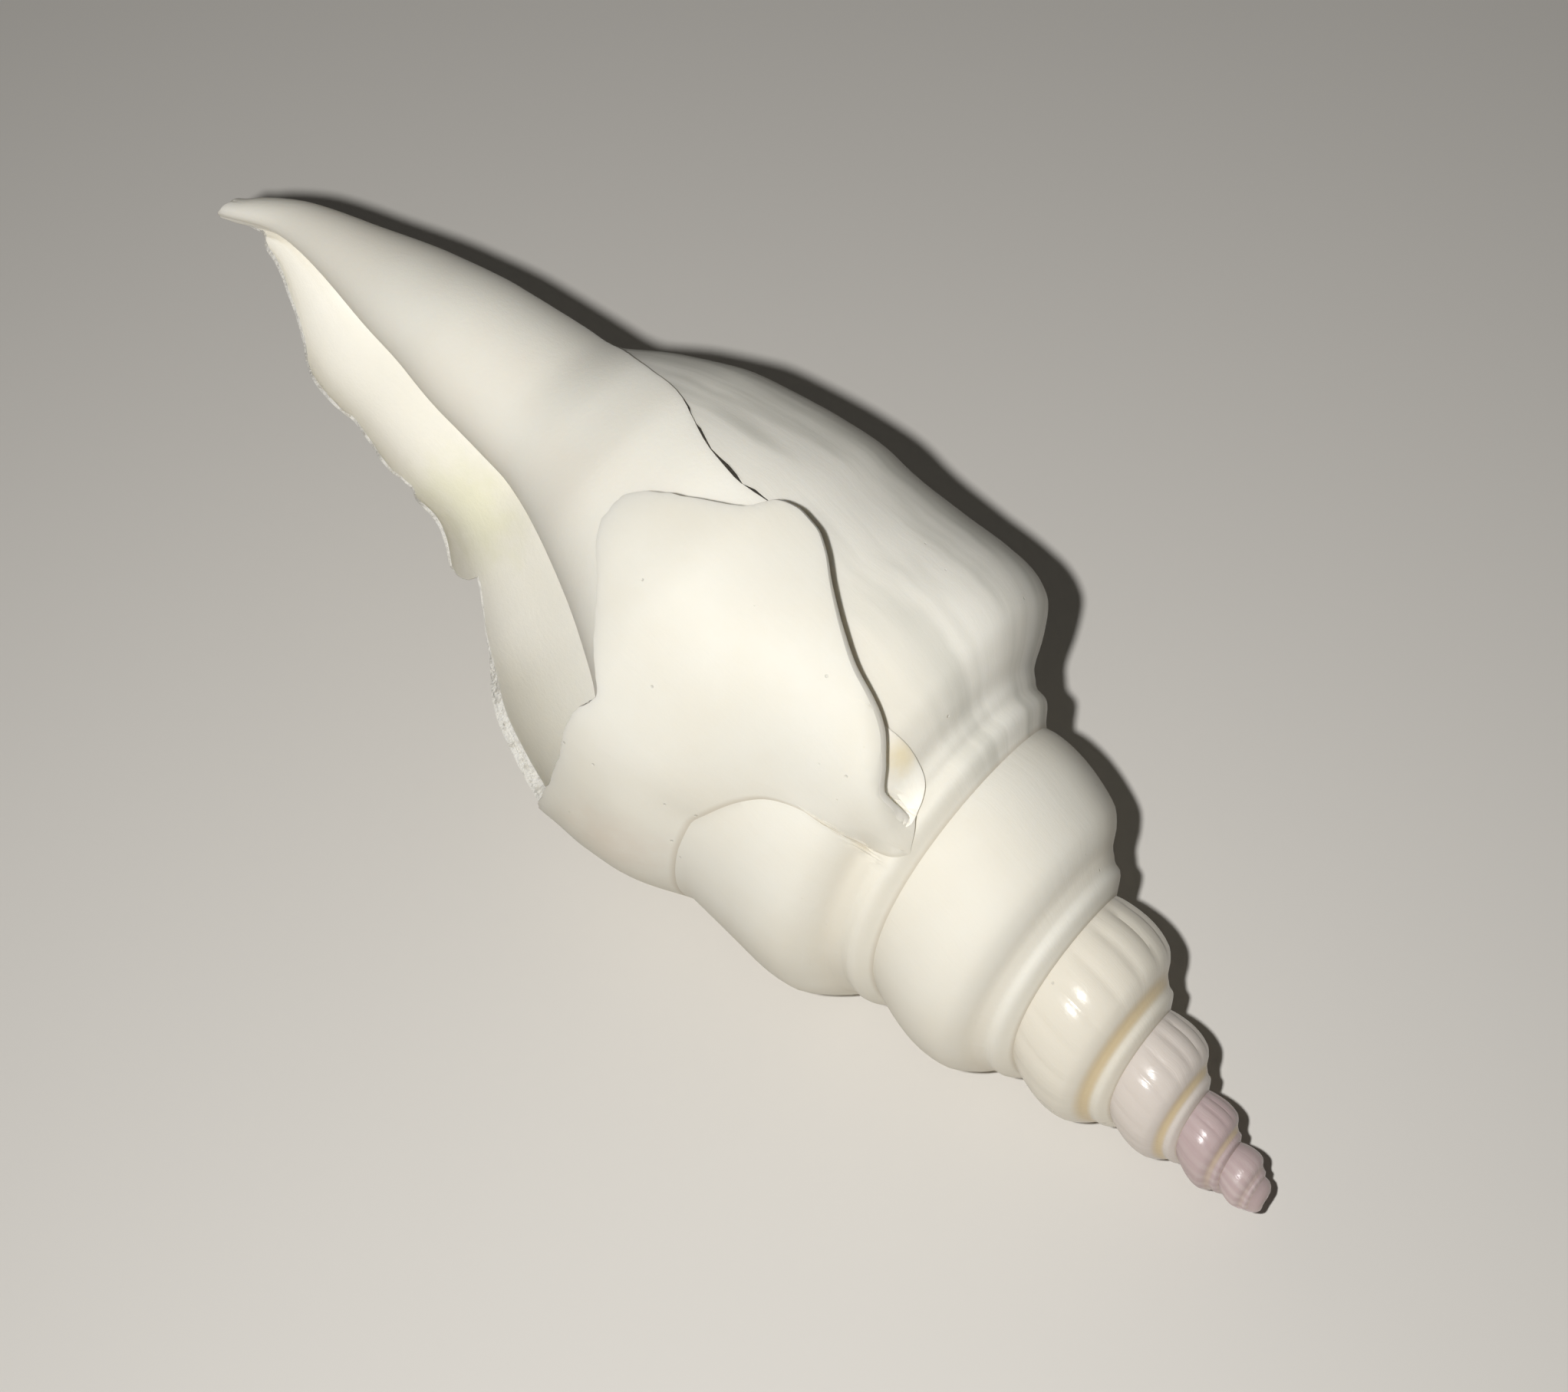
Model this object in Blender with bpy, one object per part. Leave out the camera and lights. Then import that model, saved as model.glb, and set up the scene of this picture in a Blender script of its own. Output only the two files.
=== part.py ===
"""Beach-worn conch shell lying on its back, with its aperture up.

The shell is one grown piece. Its outside is a helical sheet of whorls that ends
in a filled last whorl. The hollow of the last whorl and the broken-away part of
its wall are then cut out, which leaves the columella with its glaze, the back
wall, and a remnant of the outer lip over the middle.

Sizes in the functions are millimetres measured along the shell's axis from the
point where the growth spiral would vanish, and angles are degrees of growth:
0 faces out of the aperture, 90 is the right side, 270 the left side.
"""

import math

import bmesh
import bpy
from mathutils import Matrix, Vector

MM = 0.001

# Growth of the spire.
WHORL_RATIO = 0.70  # size of a whorl compared with the one after it
SUTURE_AT_90 = 25.0  # axial place of the last suture on the right side
SUTURE_SLOPE = 0.333  # radius gained at the suture per millimetre of axis
SUTURE_OFFSET = 1.165
LAST_FLARE = 0.4  # extra radius at the last suture
FLARE_SPAN = (21, 25)
EARLY_SPAN = (0, 9)  # the first whorls, which narrow more slowly
SUTURE_TILT = 0.06  # how far the sutures lean, over their axial place
TILT_FADES = (180, 280)
WHORL_BULGE = 0.23  # height of a whorl's bulge over its own height
BULGE_SKEW = 0.8
BULGE_POWER = 0.9
LAST_ANGLE = 355.0  # growth angle where the last suture ends
TURNS = 6.25
APEX_RISE = 0.25  # height of the rounded apex over the first suture

# The last whorl.
TIP_AT = 69.8  # axial place of the canal's tip
SUTURE_SAG = 0.9  # extra descent of the last suture
SAG_ANGLES = (90, 270)
ASCENT_FROM = 305.0  # angle from which the last suture climbs to the lip
ASCENT = 8.8
ASCENT_POWER = 3.0
ARC_PER_DEGREE = 0.18
JOIN_ANGLES = (-200, -90)  # where the spire's shape gives way to the last whorl's
SHOULDER_SPAN = 0.6  # share of a whorl's height taken by its shoulder
SHOULDER_POWER = 2.2
UNDER_ANGLES = (240, 300)  # where the last suture leaves the cone and follows the whorl under it
CANAL_SPAN = (44, 54)  # below it growth no longer widens the last whorl
LEFT_FLARE = 1.05  # extra radius of the canal's left side
LEFT_SPAN = (49, 54)
LEFT_ANGLES = (180, 260)
LEFT_FADES = (62, 67)
TIP_RISE = 0.2

# Walls.
WALL = 0.95
CANAL_WALL = 0.6
THIN_SPAN = (46, 58)  # where the wall thins towards the canal
GLAZE = 0.25  # thickness of the glaze over the ventral side
FRONT_SPAN = (36, 41)  # where the glaze on the spire passes into the columella's front
LEAST_GAP = 0.5
CLOSING = 70.0  # angle over which the hollow narrows to its closed end
LIP_ANGLE = 6.0  # the last of the wall before the lip, where the hollow may not narrow
OPEN_SPAN = (36, 40)  # below it the hollow lies open
FILL = 1.5  # how far the uncut whorl stands over the broken-away front
FILL_SPAN = (43.5, 48)
FILL_ANGLES = (270, 325)
FILL_FADES = (58, 65)
FILL_LOSS = 0.8

# Pose on the table.
ROLL = 20.5
PITCH = 17.0
WORN_FLAT = 0.2  # depth of the worn spots that it rests on

# Look.
SHELL_COLOUR = (0.80, 0.78, 0.70, 1.0)
SHELL_ROUGHNESS = 0.42

# Fineness.
STEPS_PER_TURN = 48
STRIP_ROWS = 5
BASE_ROWS = 24
EDGE_ROWS = 2
CAVITY_STEPS = 34
CAVITY_ROWS = 20
LIP_STEPS = 6
TIP_CROWDING = 1.3  # how much closer the rows lie at the last whorl's upper end
WELD = 1e-7

# Cutters.
HOLLOW_TOP = 1.6  # distance of the hollow below the suture
MOUTH_TOP = 24.8  # axial place where the open mouth starts
MOUTH_ANGLE = 12.0
TOP_TRIES = 5  # steps that settle the hollow's top, which depends on itself
PAST_LIP_TOP = 24.3
CUT_END = 73.0  # axial place where the cutters end, past the canal's tip
PAST_EDGE = 14.0  # angle by which the cutters pass the edge of the glaze
RIM_SETTLES = 5.0  # distance over which the cut turns from the break to the back wall's rim
OUTSIDE = 3.0  # height of the cutters over the outside

# Radius of the last whorl along the axis, as seen from the right side.
BODY_OUTLINE = (
    (22, 10.9),
    (30, 11.3),
    (35, 11.55),
    (38.5, 11.55),
    (41.5, 11.0),
    (45, 9.6),
    (48.5, 7.5),
    (51.5, 5.35),
    (54, 4.75),
    (57, 4.25),
    (60, 3.75),
    (64.5, 2.2),
    (67.3, 1.4),
    (69, 0.95),
    (69.8, 0.55),
    (73, 0.5),
)
# Size of the last whorl round one turn, against that outline.
BODY_GROWTH = (
    (-180, 0.74),
    (-90, 0.8),
    (0, 0.89),
    (90, 1.0),
    (180, 1.0),
    (270, 0.98),
    (330, 1.04),
    (365, 1.13),
    (480, 1.15),
)
# Where the glaze ends: share of the way down the last whorl, and angle.
GLAZE_EDGE = (
    (0, 0),
    (0.013, 7),
    (0.035, 16.7),
    (0.065, 19),
    (0.1, 17),
    (0.36, 32),
    (0.4, 34.5),
    (0.48, 46),
    (0.535, 54),
    (0.63, 85),
    (1.1, 112),
)
# Sideways and downward bend of the canal.
CANAL_SIDE = ((50, 0.0), (57, -0.5), (60, -0.95), (64.5, -1.3), (67, -1.75), (69.8, -3.2), (73, -5.0))
CANAL_DROP = ((46, 0.0), (56, -0.7), (62, -1.8), (69, -3.5), (73, -4.7))
# Radius of the columella and the inner side of the hollow, at three angles.
COLUMELLA_BACK = (
    (30, 8.6),
    (36, 7.0),
    (40, 4.0),
    (44, 2.6),
    (50, 1.8),
    (56, 1.2),
    (60, 0.9),
    (73, 0.3),
)
COLUMELLA_LEFT = (
    (28, 9.4),
    (34, 9.0),
    (38, 7.2),
    (40, 5.7),
    (43.5, 3.8),
    (46.5, 2.8),
    (50, 2.2),
    (54, 2.0),
    (60, 1.0),
    (66, 0.5),
    (73, 0.3),
)
COLUMELLA_FRONT = (
    (38, 10.5),
    (41, 9.8),
    (45, 8.0),
    (48.5, 6.0),
    (51.5, 4.7),
    (57, 3.5),
    (60, 2.8),
    (64, 1.8),
    (68, 0.9),
    (73, 0.4),
)
# Angle at which the hollow closes inside the shell, along the axis.
HOLLOW_END = ((30, 70), (40, 90), (46, 120), (52, 170), (58, 205), (73, 220))
# Natural edge of the outer lip: axial place and angle.
LIP_EDGE = (
    (24.5, 355.5),
    (25, 360),
    (27, 362),
    (28.8, 369.5),
    (30.4, 372.5),
    (32.5, 375),
    (34.5, 378.5),
    (36.4, 382.3),
    (38.5, 383.5),
    (73, 480),
)
# Broken edge of the wall: angle and axial place, then the rim of the back wall.
BREAK_EDGE = (
    (243, 48.2),
    (246, 46.8),
    (250, 45.3),
    (257, 43.9),
    (260.5, 42.5),
    (261.5, 40.5),
    (263, 39.2),
    (267, 38.3),
    (280, 37.8),
    (307, 37.9),
    (320, 38.4),
    (336, 38.9),
    (342, 40.2),
    (349, 41.6),
    (356, 43.0),
    (365, 43.3),
    (370, 42.5),
    (381, 39.2),
    (388, 38.2),
    (415, 38.0),
)
BACK_RIM = (
    (48.2, 243),
    (48.8, 255),
    (49.8, 268),
    (51.5, 275),
    (60, 275),
    (62, 265),
    (66, 252),
    (73, 240),
)


def curve_through(points, at):
    """Value at one place of a smooth curve through the points, straight beyond them."""
    last = len(points) - 1
    if at <= points[0][0]:
        return points[0][1]
    if at >= points[last][0]:
        return points[last][1]
    i = max(k for k in range(last) if points[k][0] <= at)
    slopes = [(b[1] - a[1]) / (b[0] - a[0]) for a, b in zip(points, points[1:])]

    def tangent(k):
        if k == 0:
            return slopes[0]
        if k == last:
            return slopes[-1]
        before, after = slopes[k - 1], slopes[k]
        return 0.0 if before * after <= 0 else 2 * before * after / (before + after)

    span = points[i + 1][0] - points[i][0]
    t = (at - points[i][0]) / span
    return (
        (2 * t**3 - 3 * t**2 + 1) * points[i][1]
        + (t**3 - 2 * t**2 + t) * span * tangent(i)
        + (3 * t**2 - 2 * t**3) * points[i + 1][1]
        + (t**3 - t**2) * span * tangent(i + 1)
    )


def blend(start, end, at):
    """0 before start, 1 after end, smooth between."""
    t = min(1.0, max(0.0, (at - start) / (end - start)))
    return t * t * (3 - 2 * t)


def mix(a, b, share):
    return a + (b - a) * share


def spiral_x(angle):
    """Axial place of the undisturbed growth spiral."""
    lean = SUTURE_TILT * math.cos(math.radians(angle)) * (1 - blend(*TILT_FADES, angle))
    return SUTURE_AT_90 * WHORL_RATIO ** ((90 - angle) / 360) * (1 + lean)


def cone_radius(x):
    """Radius of the spire at its sutures."""
    return SUTURE_SLOPE * x - SUTURE_OFFSET * blend(*EARLY_SPAN, x) + LAST_FLARE * blend(*FLARE_SPAN, x)


def suture_x(angle):
    """Axial place of the suture, which sags and then climbs to the lip."""
    climb = max(0.0, (angle - ASCENT_FROM) / (LAST_ANGLE - ASCENT_FROM))
    return spiral_x(angle) + SUTURE_SAG * blend(*SAG_ANGLES, angle) - ASCENT * climb**ASCENT_POWER


def suture_stretch(angle):
    """How much longer a step along the axis is than one square to the climbing suture."""
    climb = max(0.0, (angle - ASCENT_FROM) / (LAST_ANGLE - ASCENT_FROM))
    steepness = ASCENT * ASCENT_POWER * climb ** (ASCENT_POWER - 1) / (LAST_ANGLE - ASCENT_FROM)
    return math.hypot(1, steepness / ARC_PER_DEGREE)


def suture_radius(angle):
    """Radius at the suture, which lies on the whorl before it."""
    if angle > UNDER_ANGLES[1]:
        return whorl_radius(suture_x(angle), angle - 360)
    return cone_radius(suture_x(angle))


def spire_radius(x, angle):
    top = spiral_x(angle)
    bottom = spiral_x(angle + 360)
    t = min(1.0, max(0.0, (x - top) / (bottom - top)))
    bulge = WHORL_BULGE * math.sin(math.pi * t**BULGE_SKEW) ** BULGE_POWER
    return cone_radius(x) + bulge * (bottom - top)


def body_radius(x, angle):
    """Outer radius of the last whorl, filled up to the glaze where it is broken away."""
    height = spiral_x(angle) / WHORL_RATIO - spiral_x(angle)
    below = (x - suture_x(angle)) / suture_stretch(min(angle, LAST_ANGLE))
    t = min(1.0, max(0.0, below / (SHOULDER_SPAN * height)))
    growth = 1 + (curve_through(BODY_GROWTH, angle) - 1) * (1 - blend(*CANAL_SPAN, x))
    full = curve_through(BODY_OUTLINE, x) * growth
    fill = FILL * blend(*FILL_SPAN, x) * (1 - FILL_LOSS * blend(*FILL_FADES, x))
    full += fill * blend(*FILL_ANGLES, angle)
    full += LEFT_FLARE * blend(*LEFT_SPAN, x) * blend(*LEFT_ANGLES, angle) * (1 - blend(*LEFT_FADES, x))
    radius = cone_radius(suture_x(angle))
    if angle > UNDER_ANGLES[0]:
        radius = mix(radius, whorl_radius(x, angle - 360), blend(*UNDER_ANGLES, angle))
    return radius + (full - radius) * (1 - (1 - t) ** SHOULDER_POWER)


def whorl_radius(x, angle):
    share = blend(*JOIN_ANGLES, angle)
    if share == 0:
        return spire_radius(x, angle)
    if share == 1:
        return body_radius(x, angle)
    return mix(spire_radius(x, angle), body_radius(x, angle), share)


def glaze_edge(x):
    """Growth angle at which the last whorl comes out from under the glaze."""
    start = suture_x(LAST_ANGLE)
    return LAST_ANGLE + curve_through(GLAZE_EDGE, (x - start) / (TIP_AT - start))


def floor_radius(x, angle):
    """Inner side of the hollow: columella, glaze and the whorl underneath."""
    turn = angle - 360
    edge = glaze_edge(x) - 360
    if turn >= edge:
        return whorl_radius(x, turn) + GLAZE
    front = curve_through(COLUMELLA_FRONT, x)
    under = whorl_radius(x, 0) + GLAZE
    front = mix(under, front, blend(*FRONT_SPAN, x))
    left = curve_through(COLUMELLA_LEFT, x)
    back = curve_through(COLUMELLA_BACK, x)
    at_edge = whorl_radius(x, edge) + GLAZE
    round_columella = ((-270, back), (-180, back), (-90, left), (0, front), (edge, at_edge))
    return curve_through(round_columella, turn)


def roof_radius(x, angle):
    """Outer side of the hollow: the inside of the last whorl's wall."""
    wall = mix(WALL, CANAL_WALL, blend(*THIN_SPAN, x))
    return body_radius(x, angle) - wall


def hollow_radii(x, angle):
    """Inner and outer radius of the hollow, equal where it closes."""
    opening = blend(0, CLOSING, angle - curve_through(HOLLOW_END, x))
    roof = roof_radius(x, angle)
    floor = floor_radius(x, angle)
    before_lip = curve_through(LIP_EDGE, x) - angle
    open_air = max(1 - blend(0, LIP_ANGLE, before_lip), blend(*OPEN_SPAN, x))
    under_wall = min(floor, roof - LEAST_GAP)
    roof = mix(roof, max(roof, floor + LEAST_GAP), open_air)
    floor = mix(under_wall, floor, open_air)
    return mix(roof, floor, opening), roof


def place(x, angle, radius):
    """Point of the shell in its own frame, apex along +X."""
    turn = math.radians(angle)
    return Vector(
        (
            -x * MM,
            (curve_through(CANAL_SIDE, x) + radius * math.sin(turn)) * MM,
            (curve_through(CANAL_DROP, x) + radius * math.cos(turn)) * MM,
        )
    )


def add_sheet(shape, columns, rows, where):
    """A grid of faces whose points go to where(column share, row share)."""
    grid = bmesh.ops.create_grid(shape, x_segments=columns, y_segments=rows, size=0.5)
    for vert in grid["verts"]:
        vert.co = where(vert.co.x + 0.5, vert.co.y + 0.5)


def close_ring(shape, chosen, apex):
    """Fans the chosen open edges to one point."""
    ring = [edge for edge in shape.edges if edge.is_boundary and chosen(edge.verts[0].co.x / -MM)]
    face = bmesh.ops.contextual_create(shape, geom=ring)["faces"][0]
    centre = bmesh.ops.poke(shape, faces=[face])["verts"][0]
    centre.co = apex


def finish(shape, name, collection):
    bmesh.ops.recalc_face_normals(shape, faces=shape.faces)
    mesh = bpy.data.meshes.new(name)
    shape.to_mesh(mesh)
    shape.free()
    obj = bpy.data.objects.new(name, mesh)
    collection.objects.link(obj)
    return obj


def make_whorls(collection):
    """The closed outside: spire, last whorl and the step at the edge of the glaze."""
    shape = bmesh.new()
    first_angle = LAST_ANGLE - 360 * TURNS
    strip_start = LAST_ANGLE - 360
    lead = suture_x(LAST_ANGLE) - suture_x(strip_start)

    def strip_bottom(angle):
        if angle <= strip_start:
            return suture_x(angle + 360)
        share = (angle - strip_start) / 360
        return suture_x(angle) + lead * (1 - share**4)

    def on_strip(column, row):
        angle = mix(first_angle, LAST_ANGLE, column)
        x = mix(suture_x(angle), strip_bottom(angle), row)
        if row == 0:
            return place(x, angle, suture_radius(angle))
        if row == 1 and angle <= strip_start:
            return place(x, angle, suture_radius(angle + 360))
        return place(x, angle, whorl_radius(x, angle))

    def on_base(column, row):
        angle = mix(strip_start, LAST_ANGLE, column)
        row = 1 - (1 - row) ** TIP_CROWDING
        x = mix(strip_bottom(angle), TIP_AT, row)
        angle += curve_through(GLAZE_EDGE, row)
        return place(x, angle, whorl_radius(x, angle))

    def on_step(column, row):
        return on_base(0, row).lerp(on_base(1, row), column)

    add_sheet(shape, round(STEPS_PER_TURN * TURNS), STRIP_ROWS, on_strip)
    add_sheet(shape, STEPS_PER_TURN, BASE_ROWS, on_base)
    add_sheet(shape, EDGE_ROWS, BASE_ROWS, on_step)
    bmesh.ops.remove_doubles(shape, verts=shape.verts, dist=WELD)
    bmesh.ops.dissolve_degenerate(shape, edges=shape.edges, dist=WELD)
    close_ring(shape, lambda x: x < SUTURE_AT_90, place(spiral_x(first_angle) - APEX_RISE, 0, 0))
    close_ring(shape, lambda x: x > SUTURE_AT_90, place(TIP_AT + TIP_RISE, 0, 0))
    return finish(shape, "shell", collection)


def make_cutter(name, collection, columns, rows, inner, outer):
    """A closed block between two sheets and the four sides that join them."""
    shape = bmesh.new()
    add_sheet(shape, columns, rows, inner)
    add_sheet(shape, columns, rows, outer)
    for end in (0, 1):
        add_sheet(shape, columns, 1, lambda share, up: inner(share, end).lerp(outer(share, end), up))
        add_sheet(shape, 1, rows, lambda up, share: inner(end, share).lerp(outer(end, share), up))
    bmesh.ops.remove_doubles(shape, verts=shape.verts, dist=WELD)
    bmesh.ops.dissolve_degenerate(shape, edges=shape.edges, dist=WELD)
    bmesh.ops.triangulate(shape, faces=shape.faces)
    obj = finish(shape, name, collection)
    obj.hide_render = True
    obj.display_type = "WIRE"
    return obj


def make_hollow(collection):
    """The inside of the last whorl, from its closed end to past the lip."""

    def top(angle):
        grown = min(angle, LAST_ANGLE)
        inside = suture_x(grown) + HOLLOW_TOP * suture_stretch(grown)
        return mix(inside, MOUTH_TOP, blend(LAST_ANGLE, LAST_ANGLE + MOUTH_ANGLE, angle))

    def across(x, column):
        return mix(curve_through(HOLLOW_END, x), glaze_edge(x) + PAST_EDGE, column)

    def spot(column, row):
        x = MOUTH_TOP
        for _ in range(TOP_TRIES):
            x = top(across(x, column))
        x = mix(x, CUT_END, row)
        return x, across(x, column)

    def on_floor(column, row):
        x, angle = spot(column, row)
        return place(x, angle, hollow_radii(x, angle)[0])

    def on_roof(column, row):
        x, angle = spot(column, row)
        floor, roof = hollow_radii(x, angle)
        return place(x, angle, roof)

    return make_cutter("hollow", collection, CAVITY_STEPS, CAVITY_ROWS, on_floor, on_roof)


def middle_radius(x, angle):
    floor, roof = hollow_radii(x, angle)
    return (floor + roof) / 2


def make_lip_cutter(collection):
    """What lies past the natural edge of the outer lip."""

    def spot(column, row):
        x = mix(PAST_LIP_TOP, CUT_END, row)
        lip = curve_through(LIP_EDGE, x)
        return x, mix(lip, max(lip, glaze_edge(x)) + PAST_EDGE, column)

    def on_floor(column, row):
        x, angle = spot(column, row)
        return place(x, angle, middle_radius(x, angle))

    def on_top(column, row):
        x, angle = spot(column, row)
        return place(x, angle, body_radius(x, angle) + OUTSIDE)

    return make_cutter("past_lip", collection, LIP_STEPS, CAVITY_ROWS, on_floor, on_top)


def make_break_cutter(collection):
    """The part of the wall that has broken away."""
    first, last = BREAK_EDGE[0][0], BREAK_EDGE[-1][0]

    def spot(column, row):
        start = mix(first, last, column)
        edge = curve_through(BREAK_EDGE, start)
        x = mix(edge, CUT_END, row)
        settle = blend(0, RIM_SETTLES, x - edge)
        left = curve_through(BACK_RIM, x) - first
        right = glaze_edge(x) + PAST_EDGE - last
        return x, start + settle * mix(left, right, column)

    def on_floor(column, row):
        x, angle = spot(column, row)
        return place(x, angle, middle_radius(x, angle))

    def on_top(column, row):
        x, angle = spot(column, row)
        return place(x, angle, body_radius(x, angle) + OUTSIDE)

    return make_cutter("broken_away", collection, CAVITY_STEPS, CAVITY_ROWS, on_floor, on_top)


def cut(obj, cutter):
    step = obj.modifiers.new(cutter.name, "BOOLEAN")
    step.operation = "DIFFERENCE"
    step.object = cutter


def lay_on_table(obj):
    """Applies the cuts, turns the shell to its resting pose and wears flat the spots it rests on."""
    bpy.context.view_layer.update()
    solid = bpy.data.meshes.new_from_object(obj.evaluated_get(bpy.context.evaluated_depsgraph_get()))
    obj.modifiers.clear()
    obj.data = solid
    shape = bmesh.new()
    shape.from_mesh(solid)
    pose = Matrix.Rotation(math.radians(PITCH), 4, "Y") @ Matrix.Rotation(math.radians(ROLL), 4, "X")
    bmesh.ops.transform(shape, matrix=pose, verts=shape.verts)
    low = Vector([min(vert.co[axis] for vert in shape.verts) for axis in range(3)])
    high = Vector([max(vert.co[axis] for vert in shape.verts) for axis in range(3)])
    to_origin = Vector((-(low.x + high.x) / 2, -(low.y + high.y) / 2, -low.z - WORN_FLAT * MM))
    bmesh.ops.translate(shape, vec=to_origin, verts=shape.verts)
    bmesh.ops.bisect_plane(
        shape,
        geom=shape.verts[:] + shape.edges[:] + shape.faces[:],
        dist=WELD,
        plane_co=(0, 0, 0),
        plane_no=(0, 0, 1),
        clear_inner=True,
    )
    bmesh.ops.holes_fill(shape, edges=[edge for edge in shape.edges if edge.is_boundary])
    shape.to_mesh(solid)
    shape.free()


def paint(obj):
    """Off-white, chalky shell."""
    material = bpy.data.materials.new("worn shell")
    material.use_nodes = True
    surface = material.node_tree.nodes["Principled BSDF"]
    surface.inputs["Base Color"].default_value = SHELL_COLOUR
    surface.inputs["Roughness"].default_value = SHELL_ROUGHNESS
    surface.inputs["Metallic"].default_value = 0.0
    obj.data.materials.append(material)


def main():
    for obj in list(bpy.data.objects):
        bpy.data.objects.remove(obj)
    parts = bpy.data.collections.new("conch shell")
    cutters = bpy.data.collections.new("cutters")
    bpy.context.scene.collection.children.link(parts)
    bpy.context.scene.collection.children.link(cutters)
    shell = make_whorls(parts)
    cut(shell, make_hollow(cutters))
    cut(shell, make_lip_cutter(cutters))
    cut(shell, make_break_cutter(cutters))
    lay_on_table(shell)
    paint(shell)


if __name__ == "__main__":
    main()
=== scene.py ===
"""Looks of a beach-worn conch shell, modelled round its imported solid.

The shell is one grown piece. Its outside is a helical sheet of whorls with ribs and
a cord below each suture, from which the hollow of the last whorl, what lies past the
natural lip and the broken-away part of the wall are cut. The cuts leave the columella
with its glaze, the back wall, and a remnant of the outer lip over the middle.

Lengths in the classes of the shape are millimetres. Axial places count along the
shell's axis from the point where the growth spiral would vanish, and angles are degrees
of growth: 0 faces out of the aperture, 90 is the right side, 270 the left side.
"""

import logging
import math
from bisect import bisect_right
from collections.abc import Callable
from dataclasses import dataclass, field
from enum import IntEnum
from functools import cached_property

import bmesh
import bpy
from mathutils import Matrix, Vector, noise
from mathutils.kdtree import KDTree


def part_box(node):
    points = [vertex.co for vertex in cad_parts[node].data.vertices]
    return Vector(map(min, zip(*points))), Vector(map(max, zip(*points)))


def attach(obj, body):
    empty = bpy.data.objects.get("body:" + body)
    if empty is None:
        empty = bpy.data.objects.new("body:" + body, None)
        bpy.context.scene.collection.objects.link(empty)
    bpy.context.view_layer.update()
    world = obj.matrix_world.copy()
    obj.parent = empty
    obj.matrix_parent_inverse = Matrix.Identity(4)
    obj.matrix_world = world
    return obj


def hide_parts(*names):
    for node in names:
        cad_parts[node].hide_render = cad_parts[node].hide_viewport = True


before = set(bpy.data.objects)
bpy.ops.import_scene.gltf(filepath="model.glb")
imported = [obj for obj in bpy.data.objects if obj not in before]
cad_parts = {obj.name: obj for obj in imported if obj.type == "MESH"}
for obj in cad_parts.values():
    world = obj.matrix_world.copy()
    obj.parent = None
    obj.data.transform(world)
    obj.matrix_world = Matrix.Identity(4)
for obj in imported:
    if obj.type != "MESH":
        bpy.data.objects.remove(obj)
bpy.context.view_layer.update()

MM = 0.001
NODE = "shell"
SEED_SLANT = 0.37
log = logging.getLogger("conch")

Pair = tuple[float, float]
Triple = tuple[float, float, float]
Colour = tuple[float, float, float, float]
Place = Callable[[float, float], Vector]
Spot = Callable[[float, float], Pair]


class Surface(IntEnum):
    """Which finish a face wears, in the order of the material slots."""

    OUTER = 0
    GLAZE = 1
    INNER = 2
    BROKEN = 3
    SEAM = 4


@dataclass(frozen=True)
class Outline:
    """A smooth curve through a few points, level past its ends."""

    points: tuple[Pair, ...]

    @cached_property
    def places(self) -> list[float]:
        """Where the points lie."""
        return [point[0] for point in self.points]

    @cached_property
    def tangents(self) -> list[float]:
        """Slope at each point, chosen so that the curve doesn't overshoot.

        Returns:
            The slopes.
        """
        slopes = [(b[1] - a[1]) / (b[0] - a[0]) for a, b in zip(self.points, self.points[1:])]
        inner = [0.0 if a * b <= 0 else 2 * a * b / (a + b) for a, b in zip(slopes, slopes[1:])]
        return [slopes[0], *inner, slopes[-1]]

    def at(self, place: float) -> float:
        """Value of the curve.

        Args:
            place: where along the curve.

        Returns:
            The curve's height there.
        """
        last = len(self.points) - 1
        if place <= self.points[0][0]:
            return self.points[0][1]
        if place >= self.points[last][0]:
            return self.points[last][1]
        i = bisect_right(self.places, place) - 1
        (x0, y0), (x1, y1) = self.points[i], self.points[i + 1]
        span = x1 - x0
        t = (place - x0) / span
        t2, t3 = t * t, t * t * t
        return (
            (2 * t3 - 3 * t2 + 1) * y0
            + (t3 - 2 * t2 + t) * span * self.tangents[i]
            + (3 * t2 - 2 * t3) * y1
            + (t3 - t2) * span * self.tangents[i + 1]
        )


def blend(span: Pair, at: float) -> float:
    """Smooth step.

    Args:
        span: where the step starts and ends.
        at: where to read it.

    Returns:
        0 before the span, 1 after it, smooth between.
    """
    t = min(1.0, max(0.0, (at - span[0]) / (span[1] - span[0])))
    return t * t * (3 - 2 * t)


def mix(a: float, b: float, share: float) -> float:
    """Value between a and b at this share of the way."""
    return a + (b - a) * share


def wander(seed: float, at: float, wavelength: float) -> float:
    """Noise along a line.

    Args:
        seed: which of many lines.
        at: place along the line.
        wavelength: rough length of one swing.

    Returns:
        A number between about -1 and 1.
    """
    return noise.noise(Vector((at / wavelength, seed, SEED_SLANT * seed)))


@dataclass(frozen=True)
class Fineness:
    """How many faces the sheets get."""

    steps_per_turn: int = 160
    strip_rows: int = 26
    base_rows: int = 120
    edge_rows: int = 7
    cavity_steps: int = 170
    cavity_rows: int = 130
    rim_rows: int = 14
    lip_steps: int = 8
    apex_rings: int = 5

    @classmethod
    def for_now(cls) -> "Fineness":
        """The full sheets for this run; the coarser set below the first return is never reached.

        Returns:
            How many faces this run gets.
        """
        return cls()
        return cls(
            steps_per_turn=100,
            strip_rows=14,
            base_rows=80,
            edge_rows=2,
            cavity_steps=90,
            cavity_rows=80,
            rim_rows=8,
            lip_steps=6,
            apex_rings=3,
        )


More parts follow.
